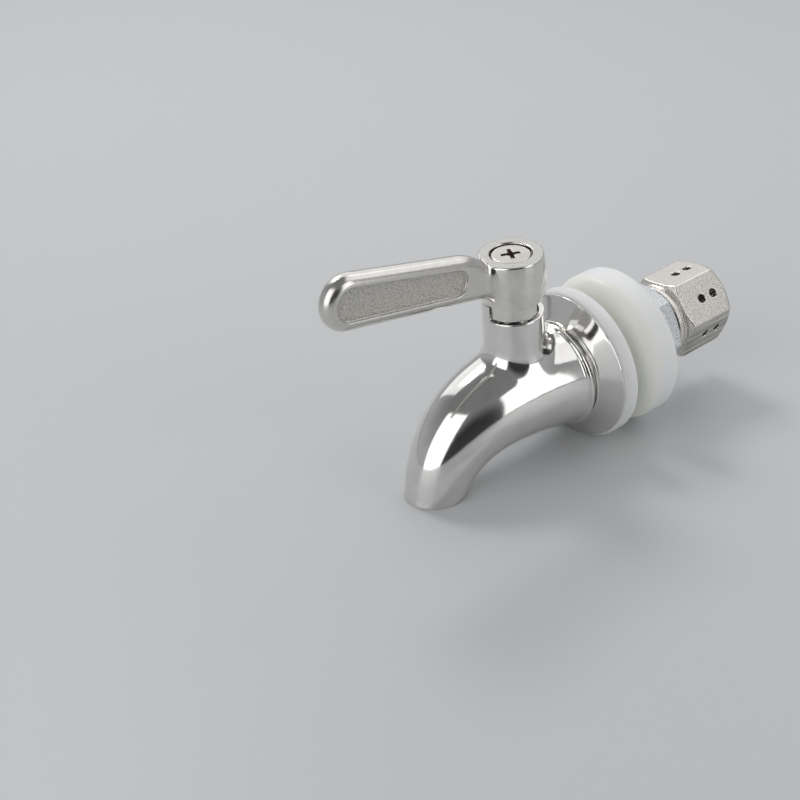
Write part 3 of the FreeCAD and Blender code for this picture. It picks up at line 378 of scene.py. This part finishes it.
def cap_field(p):
    x, y, z = p
    off_axis = np.hypot(x, z)
    field = bevelled_hex(p, CAP_HEX, CAP_REAR, *CAP_HEXAGON)

    # turned collar with a groove near the hexagon
    collar = largest(off_axis - COLLAR_RADIUS, CAP_FRONT - y, 0.25)
    collar = np.maximum(collar, y - CAP_HEX - 1)
    groove = np.hypot(off_axis - COLLAR_GROOVE[0], y - COLLAR_GROOVE[1]) - COLLAR_GROOVE_RADIUS
    field = smallest(field, largest(collar, -groove, 0.1), 0.15)

    # inlet holes, two on each face
    holes = np.full(x.shape, 1e3)
    for turn in face_turns(CAP_PHASE):
        side = -x * math.sin(turn) + z * math.cos(turn)
        out = x * math.cos(turn) + z * math.sin(turn)
        for place in CAP_HOLES:
            hole = np.hypot(side, y - place) - CAP_HOLE_RADIUS
            holes = np.minimum(holes, np.maximum(hole, -out))
    field = largest(field, -holes, 0.25)

    # bore, with a thread as far in as the shank reaches
    thread = np.clip(0.598 * (1 - from_groove(y, np.arctan2(z, x))), 0, CAP_THREAD_DEPTH)
    thread = thread * np.clip((SHANK_REAR + 0.2 - y) / 0.5, 0, 1)
    bore = np.maximum(off_axis - THREAD_BORE - thread, y - (CAP_REAR - CAP_END))
    return largest(field, -bore, 0.2)


def screw_field(p):
    x, y, z = p
    y = y - VALVE_Y
    around = np.hypot(x, y)
    depth = SCREW_TOP - z
    head = largest(around - SCREW_RADIUS, around**2 * SCREW_DOME - depth, 0.3)
    head = np.maximum(head, SCREW_HEAD_BOTTOM - z)
    shaft = np.maximum(around - SHAFT_RADIUS, z - SHAFT_ENDS[1])
    shaft = np.maximum(shaft, SHAFT_ENDS[0] - z)

    turn = math.radians(CROSS_TURN)
    a = np.abs(x * math.cos(turn) + y * math.sin(turn))
    b = np.abs(-x * math.sin(turn) + y * math.cos(turn))
    taper = depth * CROSS_TAPER
    cross = np.minimum(
        np.maximum(a - CROSS_HALF, b - CROSS_REACH + taper),
        np.maximum(b - CROSS_HALF, a - CROSS_REACH + taper),
    )
    cross = np.minimum(cross, around - CROSS_CORE + taper * 0.6)
    cross = np.maximum(cross, depth - CROSS_DEPTH)
    return largest(np.minimum(head, shaft), -cross, 0.12)


def surface_net(field, low, high, cell):
    """Corners and four-sided faces of the surface where field is zero."""
    axes = [np.arange(a - cell * 1.5, b + cell * 2.5, cell) for a, b in zip(low, high)]
    shape = tuple(len(axis) for axis in axes)
    values = np.empty(shape)
    y, z = np.meshgrid(axes[1], axes[2], indexing="ij")
    for index, x in enumerate(axes[0]):
        values[index] = field((np.full(y.shape, x), y, z))
    inside = values < 0
    cells = tuple(n - 1 for n in shape)
    count = np.zeros(cells, int)
    total = np.zeros(cells + (3,))
    corners = [(i, j, k) for i in (0, 1) for j in (0, 1) for k in (0, 1)]

    def corner_view(corner):
        return values[tuple(slice(c, n + c) for c, n in zip(corner, cells))]

    # one point in each cell that the surface crosses, at the mean of its crossings
    for axis in range(3):
        for corner in corners:
            if corner[axis]:
                continue
            a = corner_view(corner)
            b = corner_view(tuple(c + (i == axis) for i, c in enumerate(corner)))
            cut = (a < 0) != (b < 0)
            share = np.where(cut, a / np.where(cut, a - b, 1), 0)
            count += cut
            for i in range(3):
                total[..., i] += np.where(cut, corner[i] + (share if i == axis else 0), 0)
    active = count > 0
    number = np.full(cells, -1)
    number[active] = np.arange(active.sum())
    places = np.argwhere(active) + total[active] / count[active][:, None]
    points = np.array([axis[0] for axis in axes]) + places * cell

    # one face round each grid edge that the surface crosses
    faces = []
    for axis in range(3):
        a_axis, b_axis = (axis + 1) % 3, (axis + 2) % 3
        first = np.take(inside, range(shape[axis] - 1), axis=axis)
        second = np.take(inside, range(1, shape[axis]), axis=axis)
        edges = np.argwhere(first != second)
        edges = edges[(edges[:, a_axis] > 0) & (edges[:, b_axis] > 0)]
        edges = edges[(edges[:, a_axis] < cells[a_axis]) & (edges[:, b_axis] < cells[b_axis])]
        ring = []
        for da, db in ((0, 0), (-1, 0), (-1, -1), (0, -1)):
            near = edges.copy()
            near[:, a_axis] += da
            near[:, b_axis] += db
            ring.append(number[near[:, 0], near[:, 1], near[:, 2]])
        quads = np.stack(ring, axis=1)
        outward = first[edges[:, 0], edges[:, 1], edges[:, 2]]
        quads[outward] = quads[outward][:, ::-1]
        faces.append(quads[:, ::-1])
    return points, np.concatenate(faces)


def gradient(field, points, step):
    """The field's slope along each axis."""
    slopes = []
    for axis in range(3):
        ahead = points.copy()
        behind = points.copy()
        ahead[:, axis] += step
        behind[:, axis] -= step
        slopes.append((field(ahead.T) - field(behind.T)) / (2 * step))
    return np.stack(slopes, axis=1)


def cast_mesh(name, field, low, high, cell):
    """A smooth mesh of a field, with its corners pulled exactly onto the surface."""
    points, quads = surface_net(field, low, high, cell)
    for _ in range(3):
        slope = gradient(field, points, cell * 0.15)
        steep = np.maximum((slope**2).sum(1), 0.3)
        move = -(field(points.T) / steep)[:, None] * slope
        reach = np.linalg.norm(move, axis=1)[:, None]
        points = points + move * np.minimum(1, cell * 0.6 / np.maximum(reach, 1e-9))
    return mesh_object(name, points, quads)


def mesh_object(name, points, faces):
    """A smooth-shaded object from points in millimetres."""
    mesh = bpy.data.meshes.new(name)
    mesh.from_pydata((np.asarray(points) * MM).tolist(), [], np.asarray(faces).tolist())
    mesh.validate()
    mesh.polygons.foreach_set("use_smooth", np.ones(len(mesh.polygons), bool))
    piece = bpy.data.objects.new(name, mesh)
    bpy.context.scene.collection.objects.link(piece)
    return piece


def lathe(name, profile, segments=192, reshape=None):
    """Turns a closed (radius, y) profile about the shank's axis.

    reshape, if given, returns the radius for a radius, y and angle.
    """
    count = len(profile)
    points = []
    for step in range(segments):
        turn = 2 * math.pi * step / segments
        for radius, y in profile:
            if reshape:
                radius = reshape(radius, y, turn)
            points.append((radius * math.cos(turn), y, radius * math.sin(turn)))
    faces = []
    for step in range(segments):
        here = step * count
        following = (step + 1) % segments * count
        for index in range(count):
            after = (index + 1) % count
            faces.append((here + index, here + after, following + after, following + index))
    return mesh_object(name, points, faces)


def rounded(points, radii, steps=8):
    """A closed profile whose corners are rounded by radii."""
    result = []
    count = len(points)
    for index, (corner, radius) in enumerate(zip(points, radii)):
        here = Vector(corner)
        if not radius:
            result.append(tuple(here))
            continue
        before = (Vector(points[index - 1]) - here).normalized()
        after = (Vector(points[(index + 1) % count]) - here).normalized()
        half = before.angle(after) / 2
        reach = radius / math.tan(half)
        centre = here + (before + after).normalized() * radius / math.sin(half)
        start = here + before * reach - centre
        finish = here + after * reach - centre
        swing = start.angle(finish)
        for step in range(steps + 1):
            share = step / steps
            spot = start * math.sin((1 - share) * swing) + finish * math.sin(share * swing)
            result.append(tuple(centre + spot / math.sin(swing)))
    return result


def finer(profile, longest):
    """Adds points along a profile's straight stretches."""
    result = []
    for index, (radius, y) in enumerate(profile):
        next_radius, next_y = profile[(index + 1) % len(profile)]
        parts = max(1, math.ceil(math.dist((radius, y), (next_radius, next_y)) / longest))
        for step in range(parts):
            share = step / parts
            result.append((radius + (next_radius - radius) * share, y + (next_y - y) * share))
    return result


# Materials
def new_material(name):
    material = bpy.data.materials.new(name)
    material.use_nodes = True
    nodes = material.node_tree.nodes
    return material, nodes, material.node_tree.links, nodes["Principled BSDF"]


def noise(nodes, links, scale, detail, roughness=0.55, stretch=(1, 1, 1)):
    """A noise texture in object space, its scale multiplied by stretch along the axes."""
    place = nodes.new("ShaderNodeTexCoord")
    mapping = nodes.new("ShaderNodeMapping")
    mapping.inputs["Scale"].default_value = stretch
    texture = nodes.new("ShaderNodeTexNoise")
    texture.inputs["Scale"].default_value = scale
    texture.inputs["Detail"].default_value = detail
    texture.inputs["Roughness"].default_value = roughness
    links.new(place.outputs["Object"], mapping.inputs["Vector"])
    links.new(mapping.outputs["Vector"], texture.inputs["Vector"])
    return texture.outputs["Fac"]


def spread(nodes, links, value, low, high, start=0.3, stop=0.7, kind="LINEAR"):
    """Maps a value's range from start to stop onto low to high."""
    ranger = nodes.new("ShaderNodeMapRange")
    ranger.interpolation_type = kind
    ranger.inputs["From Min"].default_value = start
    ranger.inputs["From Max"].default_value = stop
    ranger.inputs["To Min"].default_value = low
    ranger.inputs["To Max"].default_value = high
    links.new(value, ranger.inputs["Value"])
    return ranger.outputs["Result"]


def tint(nodes, links, value, dark, light, start=0.3, stop=0.7):
    """Maps a value's range from start to stop onto two colours."""
    ramp = nodes.new("ShaderNodeValToRGB")
    ramp.color_ramp.elements[0].position = start
    ramp.color_ramp.elements[1].position = stop
    ramp.color_ramp.elements[0].color = (*dark, 1)
    ramp.color_ramp.elements[1].color = (*light, 1)
    links.new(value, ramp.inputs["Fac"])
    return ramp.outputs["Color"]


def bump(nodes, links, value, height, under=None):
    """Raises the surface by height metres where value is 1, on top of another relief."""
    relief = nodes.new("ShaderNodeBump")
    relief.inputs["Distance"].default_value = height
    links.new(value, relief.inputs["Height"])
    if under is not None:
        links.new(under, relief.inputs["Normal"])
    return relief.outputs["Normal"]


def arithmetic(nodes, links, operation, *values):
    """The result of a Math node on numbers and other nodes' outputs."""
    node = nodes.new("ShaderNodeMath")
    node.operation = operation
    for socket, value in zip(node.inputs, values):
        if isinstance(value, float):
            socket.default_value = value
        else:
            links.new(value, socket)
    return node.outputs["Value"]


def metal(
    name, dark, light, rough, grain, scale, relief, waves=0.0, speckled=False, stretch=(1, 1, 1)
):
    """Steel whose gloss and relief follow one fine grain.

    rough is its roughness, and grain how far that strays. relief is the grain's height in metres,
    and waves that of the slow unevenness that polishing leaves. The colour follows a coarser
    noise, or if speckled the grain itself.
    """
    material, nodes, links, shader = new_material(name)
    shader.inputs["Metallic"].default_value = 1.0
    fine = noise(nodes, links, scale, 6, 0.6, stretch)
    if speckled:
        tone = tint(nodes, links, fine, dark, light, 0.38, 0.62)
    else:
        tone = tint(nodes, links, noise(nodes, links, scale * 0.3, 3), dark, light)
    links.new(tone, shader.inputs["Base Color"])
    links.new(spread(nodes, links, fine, rough - grain, rough + grain), shader.inputs["Roughness"])
    under = bump(nodes, links, noise(nodes, links, 110, 1), waves) if waves else None
    links.new(bump(nodes, links, fine, relief, under), shader.inputs["Normal"])
    return material


def silicone_material(name, middle, reach, fade, warm, cool):
    """Milky silicone, warm within reach of a middle place along the shank, then fading to cool.

    The three lengths are in millimetres, and a cloudy noise sways the middle by up to 2.
    """
    material, nodes, links, shader = new_material(name)
    place = nodes.new("ShaderNodeTexCoord")
    parts = nodes.new("ShaderNodeSeparateXYZ")
    links.new(place.outputs["Object"], parts.inputs["Vector"])
    cloud = noise(nodes, links, 160, 3)
    swayed = arithmetic(nodes, links, "MULTIPLY_ADD", cloud, 4 * MM, parts.outputs["Y"])
    centred = arithmetic(nodes, links, "ADD", swayed, -(middle + 2) * MM)
    away = arithmetic(nodes, links, "ABSOLUTE", centred)
    share = spread(nodes, links, away, 0, 1, reach * MM, (reach + fade) * MM)
    links.new(tint(nodes, links, share, warm, cool, 0, 1), shader.inputs["Base Color"])
    shader.inputs["Subsurface Weight"].default_value = 1.0
    shader.inputs["Subsurface Radius"].default_value = (1.0, 1.0, 0.95)
    shader.inputs["Subsurface Scale"].default_value = 0.005
    shader.inputs["IOR"].default_value = 1.41
    fine = noise(nodes, links, 900, 4)
    links.new(spread(nodes, links, fine, 0.3, 0.42), shader.inputs["Roughness"])
    links.new(bump(nodes, links, fine, 0.00001), shader.inputs["Normal"])
    return material


def plain_material(name, color, rough):
    """Rubber or plastic with a faint grain."""
    material, nodes, links, shader = new_material(name)
    fine = noise(nodes, links, 700, 4)
    lighter = tuple(c * 1.1 + 0.01 for c in color)
    links.new(tint(nodes, links, fine, color, lighter), shader.inputs["Base Color"])
    links.new(spread(nodes, links, fine, rough - 0.05, rough + 0.05), shader.inputs["Roughness"])
    links.new(bump(nodes, links, fine, 0.00001), shader.inputs["Normal"])
    return material


WAVES = {"waves": 0.00003}
SPECKLED = {"speckled": True}
DRAWN = {"speckled": True, "stretch": (1, 0.04, 1)}

# What metal() takes for each steel
STEELS = {
    "polished_steel": ((0.75, 0.74, 0.72), (0.81, 0.80, 0.78), 0.1, 0.02, 900, 0.000002, WAVES),
    "lever_steel": ((0.66, 0.645, 0.615), (0.72, 0.70, 0.675), 0.22, 0.04, 1500, 0.00001, WAVES),
    "hub_side": ((0.72, 0.70, 0.67), (0.80, 0.79, 0.76), 0.11, 0.03, 1600, 0.000012, WAVES),
    "lever_recess": ((0.62, 0.605, 0.565), (0.93, 0.905, 0.85), 0.34, 0.1, 2100, 0.0008, SPECKLED),
    # Hub top: its satin grain is real; its colour, darker than the hub's side, is painted shade
    "hub_top": ((0.52, 0.515, 0.49), (0.57, 0.56, 0.54), 0.3, 0.06, 2200, 0.00003, {}),
    "screw_steel": ((0.57, 0.555, 0.52), (0.63, 0.61, 0.57), 0.3, 0.06, 1500, 0.00001, {}),
    "screw_cross": ((0.20, 0.15, 0.11), (0.30, 0.23, 0.18), 0.4, 0.06, 1500, 0.00001, {}),
    "nut_steel": ((0.52, 0.54, 0.555), (0.68, 0.695, 0.705), 0.28, 0.1, 2000, 0.0001, SPECKLED),
    "cap_steel": ((0.72, 0.695, 0.65), (0.79, 0.76, 0.715), 0.25, 0.07, 2600, 0.00008, {}),
    "cap_smooth": ((0.66, 0.635, 0.59), (0.70, 0.675, 0.63), 0.27, 0.05, 2600, 0.00002, {}),
    # Drawn flats: the drawn lines are real; their darker tone is a painted dark reflection
    "cap_drawn_painted_reflection": ((0.28, 0.27, 0.25), (0.68, 0.655, 0.615), 0.27, 0.06, 1000, 0.0001, DRAWN),
    "machined_steel": ((0.60, 0.60, 0.59), (0.70, 0.70, 0.68), 0.25, 0.05, 1200, 0.00001, {}),
}

MATERIALS = {name: metal(name, *row, **extras) for name, (*row, extras) in STEELS.items()}
MATERIALS["silicone"] = silicone_material(
    "silicone", 4.8, 1.0, 2.5, (0.945, 0.94, 0.85), (0.93, 0.965, 0.96)
)
MATERIALS["nitrile"] = plain_material("nitrile", (0.03, 0.03, 0.03), 0.45)
MATERIALS["seat_plastic"] = plain_material("seat_plastic", (0.82, 0.82, 0.80), 0.4)


def dress(piece, slot, body, *nodes):
    """Gives a piece its finish, its body and the CAD nodes that it stands for."""
    piece.data.materials.append(MATERIALS[slot])
    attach(piece, body)
    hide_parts(*nodes)


def second_finish(piece, name, picks):
    """Gives the faces that pass a test of centre and normal another material."""
    mesh = piece.data
    mesh.materials.append(MATERIALS[name])
    centres = np.empty(len(mesh.polygons) * 3)
    mesh.polygons.foreach_get("center", centres)
    normals = np.empty(len(mesh.polygons) * 3)
    mesh.polygons.foreach_get("normal", normals)
    chosen = picks(centres.reshape(-1, 3).T / MM, normals.reshape(-1, 3).T)
    index = np.empty(len(mesh.polygons), int)
    mesh.polygons.foreach_get("material_index", index)
    index[chosen] = len(mesh.materials) - 1
    mesh.polygons.foreach_set("material_index", index)


def make_body():
    low, high = (-12.3, -53, MOUTH_Z), (12.3, REAR_END, NECK_TOP)
    piece = cast_mesh("body_casting", body_field, low, high, 0.3)
    dress(piece, "polished_steel", "faucet", "spout_body")


def make_lever():
    low, high = (-7.5, -68.5, 22), (7.5, -12.6, 46.9)
    piece = cast_mesh("lever_casting", lever_field, low, high, 0.18)
    dress(piece, "lever_steel", "lever", "lever")

    def in_hollow(centre, normal):
        x, y, z = centre
        within = hollow_outline(VALVE_Y - y, z) < -0.1
        return within & (np.abs(x) < PLATE_HALF - 0.6) & (np.abs(x) > 1.0)

    def on_top(centre, normal):
        x, y, z = centre
        return (normal[2] > 0.8) & (z > HUB_TOP - 0.3) & (np.hypot(x, y - VALVE_Y) < 6.9)

    def on_hub(centre, normal):
        return np.hypot(centre[0], centre[1] - VALVE_Y) < 7.9

    second_finish(piece, "hub_side", on_hub)
    second_finish(piece, "lever_recess", in_hollow)
    # The flat top gets the satin finish, whose darker colour is painted shade
    second_finish(piece, "hub_top", on_top)


def make_flange():
    # each corner's radius and y, and how it is rounded
    corners = {
        (WALL_HOLE, REAR_END): 0,
        (10.6, REAR_END): 0.1,
        (10.6, -6.85): 0.15,
        (11.7, -6.85): 0.2,
        (11.72, -6.5): 0.3,
        (16.95, -4.05): 0.12,
        (17.0, WASHER_FRONT): 0.12,
        (16.0, WASHER_FRONT): 0.1,
        (9.6, -5.85): 0.1,
        (9.6, -6.7): 0.1,
        (WALL_HOLE, -6.7): 0,
    }
    piece = lathe("flange_shell", finer(rounded(list(corners), corners.values()), 0.6))
    dress(piece, "polished_steel", "faucet", "flange")


def make_washer(name, front, rear, outer, front_radius, body, node):
    corners = [(WALL_HOLE, front), (outer, front), (outer, rear), (WALL_HOLE, rear)]
    piece = lathe(name, finer(rounded(corners, (0, front_radius, 0.5, 0), 12), 0.8))
    dress(piece, "silicone", body, node)


def make_nut():
    low, high = (-10.7, NUT_FRONT, -10.7), (10.7, NUT_REAR, 10.7)
    piece = cast_mesh("lock_nut_hex", nut_field, low, high, 0.16)
    dress(piece, "nut_steel", "lock_nut", "lock_nut")


def make_cap():
    low, high = (-10.4, CAP_FRONT, -10.4), (10.4, CAP_REAR, 10.4)
    piece = cast_mesh("filter_cap_hex", cap_field, low, high, 0.17)
    dress(piece, "cap_steel", "filter_cap", "filter_cap")

    def on_flats(angle):
        """Picks the flats that look at an angle, in degrees, and the other way."""
        across = (math.cos(math.radians(angle)), math.sin(math.radians(angle)))

        def picks(centre, normal):
            out = np.abs(normal[0] * across[0] + normal[2] * across[1])
            return (out > 0.985) & (np.hypot(centre[0], centre[2]) > 8.8)

        return picks

    second_finish(piece, "cap_smooth", on_flats(CAP_PHASE + 90))
    # The flats facing down and right, and their opposites, get drawn lines with a painted dark
    # reflection
    second_finish(piece, "cap_drawn_painted_reflection", on_flats(CAP_PHASE - 30))


def make_screw():
    low, high = (-4.2, -24.3, 24), (4.2, -15.9, 34.9)
    piece = cast_mesh("lever_screw_head", screw_field, low, high, 0.1)
    dress(piece, "screw_steel", "lever", "lever_screw")

    def in_cross(centre, normal):
        x, y, z = centre
        around = np.hypot(x, y - VALVE_Y)
        below = z < SCREW_TOP - 0.08 - around**2 * SCREW_DOME
        return below & (z > SCREW_TOP - 1.6) & (around < 2.6)

    second_finish(piece, "screw_cross", in_cross)


def make_shank():
    """The hollow shank, with its head, the O-ring's groove and the rolled thread."""
    rows = int((SHANK_REAR - THREAD_START) / PITCH * 16)
    groove_radius, groove_front, groove_rear = O_RING_GROOVE
    profile = [
        (SHANK_BORE, HEAD_FRONT),
        (SHANK_HEAD_RADIUS, HEAD_FRONT),
        (SHANK_HEAD_RADIUS, groove_front),
        (groove_radius, groove_front),
        (groove_radius, groove_rear),
        (SHANK_HEAD_RADIUS, groove_rear),
        (SHANK_HEAD_RADIUS, REAR_END),
        (THREAD_RADIUS, REAR_END),
    ]
    for step in range(rows + 1):
        y = THREAD_START + (SHANK_REAR - THREAD_START) * step / rows
        profile.append((THREAD_RADIUS, y))
    profile.append((SHANK_BORE, SHANK_REAR))

    def thread(radius, y, turn):
        if radius != THREAD_RADIUS or y < THREAD_START:
            return radius
        depth = 0.95 * (1 - from_groove(y, turn) * 1.15)
        whole = min(1.0, (SHANK_REAR - y) / 0.8 + 0.1)
        return THREAD_RADIUS - 0.02 - min(max(depth, 0), THREAD_DEPTH) - 0.5 * (1 - whole)

    piece = lathe("threaded_shank", profile, 96, thread)
    dress(piece, "machined_steel", "faucet", "shank")


make_body()
make_lever()
make_flange()
make_washer("front_washer_pad", *FRONT_WASHER, "faucet", "front_washer")
make_washer("rear_washer_pad", *REAR_WASHER, "rear_washer", "rear_washer")
make_nut()
make_cap()
make_screw()
make_shank()

for subpart in frame["record"]["subparts"]:
    node = frame["nodes"][subpart["node"]]
    node.data.materials.clear()
    node.data.materials.append(MATERIALS[subpart["material_slot"]])


# Floor and camera, fitted to the photo
FLOOR_NORMAL = Vector((-0.024741, 0.060833, 0.997841)).normalized()
FLOOR_OFFSET = -17.35 * MM
FLOOR_REACH = 3.0  # metres
CAMERA_PLACE = Vector((227.410, -213.005, 195.714)) * MM
CAMERA_RIGHT = Vector((0.61695, 0.7833, -0.07626))
CAMERA_UP = Vector((-0.39254, 0.39026, 0.83283))
CAMERA_BACK = Vector((0.68212, -0.48388, 0.54824))
FOCAL_PIXELS = 1616.022
FRAME_PIXELS = 800
SENSOR_WIDTH = 36

# The room's brightness near the floor and overhead, and the heights in degrees between
ROOM_LEVEL = 0.42
ZENITH_LEVEL = 0.2
ROOM_RISE = (5, 60)

# The dark side of the room: its direction in degrees, the cosines its edge lies between, its share
DARK_AZIMUTH = -24
DARK_EDGE = (0.6, 0.9)
DARK_SHARE = 0.1

# What the lamps face and how far off they are, in metres, and each one's azimuth and height in
# degrees, size in metres and radiance
OBJECT_MIDDLE = Vector((0, -0.015, 0.005))
LAMP_DISTANCE = 0.7
SOFTBOXES = {
    "left_softbox": (-81, 29, (0.66, 0.72), 1.25),
    "right_softbox": (21, 22, (0.34, 0.55), 1.25),
    "rear_softbox": (148, 38, (1.0, 0.66), 0.72),
    "side_softbox": (76, 48, (0.62, 0.52), 0.85),
    "key_softbox": (175, 48, (0.18, 0.18), 11),
}


def make_floor():
    corners = [(x, y, 0) for x, y in ((-1, -1), (1, -1), (1, 1), (-1, 1))]
    mesh = bpy.data.meshes.new("floor")
    mesh.from_pydata([Vector(corner) * FLOOR_REACH for corner in corners], [], [(0, 1, 2, 3)])
    floor = bpy.data.objects.new("floor", mesh)
    floor.rotation_mode = "QUATERNION"
    floor.rotation_quaternion = FLOOR_NORMAL.to_track_quat("Z", "Y")
    floor.location = FLOOR_NORMAL * FLOOR_OFFSET
    bpy.context.scene.collection.objects.link(floor)
    material, _, _, shader = new_material("floor")
    shader.inputs["Base Color"].default_value = (0.6, 0.61, 0.62, 1)
    shader.inputs["Roughness"].default_value = 0.4
    shader.inputs["Specular IOR Level"].default_value = 0.2
    mesh.materials.append(material)
    floor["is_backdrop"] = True


def make_softbox(name, azimuth, height, size, radiance):
    """A rectangular lamp that faces the object, as bright as radiance to look at."""
    light = bpy.data.lights.new(name, "AREA")
    light.shape = "RECTANGLE"
    light.size, light.size_y = size
    light.energy = radiance * math.pi * size[0] * size[1]
    lamp = bpy.data.objects.new(name, light)
    turn, rise = math.radians(azimuth), math.radians(height)
    flat = math.cos(rise)
    towards = Vector((flat * math.cos(turn), flat * math.sin(turn), math.sin(rise)))
    lamp.location = OBJECT_MIDDLE + towards * LAMP_DISTANCE
    lamp.rotation_mode = "QUATERNION"
    lamp.rotation_quaternion = (OBJECT_MIDDLE - lamp.location).to_track_quat("-Z", "Y")
    lamp.visible_camera = False
    bpy.context.scene.collection.objects.link(lamp)


def make_world():
    """A pale studio round the object, darker overhead and in one direction."""
    world = bpy.data.worlds.new("studio")
    bpy.context.scene.world = world
    world.use_nodes = True
    nodes, links = world.node_tree.nodes, world.node_tree.links
    background = nodes["Background"]
    place = nodes.new("ShaderNodeTexCoord")
    parts = nodes.new("ShaderNodeSeparateXYZ")
    links.new(place.outputs["Generated"], parts.inputs[0])
    rise = [math.sin(math.radians(height)) for height in ROOM_RISE]
    up = parts.outputs["Z"]
    overhead = spread(nodes, links, up, ROOM_LEVEL, ZENITH_LEVEL, *rise, "SMOOTHSTEP")
    facing = nodes.new("ShaderNodeVectorMath")
    facing.operation = "DOT_PRODUCT"
    turn = math.radians(DARK_AZIMUTH)
    facing.inputs[1].default_value = (math.cos(turn), math.sin(turn), 0)
    links.new(place.outputs["Generated"], facing.inputs[0])
    beside = facing.outputs["Value"]
    dark = spread(nodes, links, beside, 1.0, DARK_SHARE, *DARK_EDGE, "SMOOTHSTEP")
    level = arithmetic(nodes, links, "MULTIPLY", overhead, dark)
    links.new(level, background.inputs["Strength"])
    background.inputs["Color"].default_value = (0.97, 0.98, 1, 1)


def make_camera():
    data = bpy.data.cameras.new("camera")
    data.sensor_width = SENSOR_WIDTH
    data.lens = SENSOR_WIDTH * FOCAL_PIXELS / FRAME_PIXELS
    data.clip_start = 0.01
    camera = bpy.data.objects.new("camera", data)
    turn = Matrix((CAMERA_RIGHT, CAMERA_UP, CAMERA_BACK)).transposed().to_4x4()
    camera.matrix_world = Matrix.Translation(CAMERA_PLACE) @ turn
    bpy.context.scene.collection.objects.link(camera)
    bpy.context.scene.camera = camera


make_floor()
make_world()
for name, settings in SOFTBOXES.items():
    make_softbox(name, *settings)
make_camera()
bpy.context.scene.view_settings.view_transform = "Standard"

sizes = {"cad": cad_box, "visual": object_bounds()}
sizes = {name: [list(map(float, corner)) for corner in box] for name, box in sizes.items()}
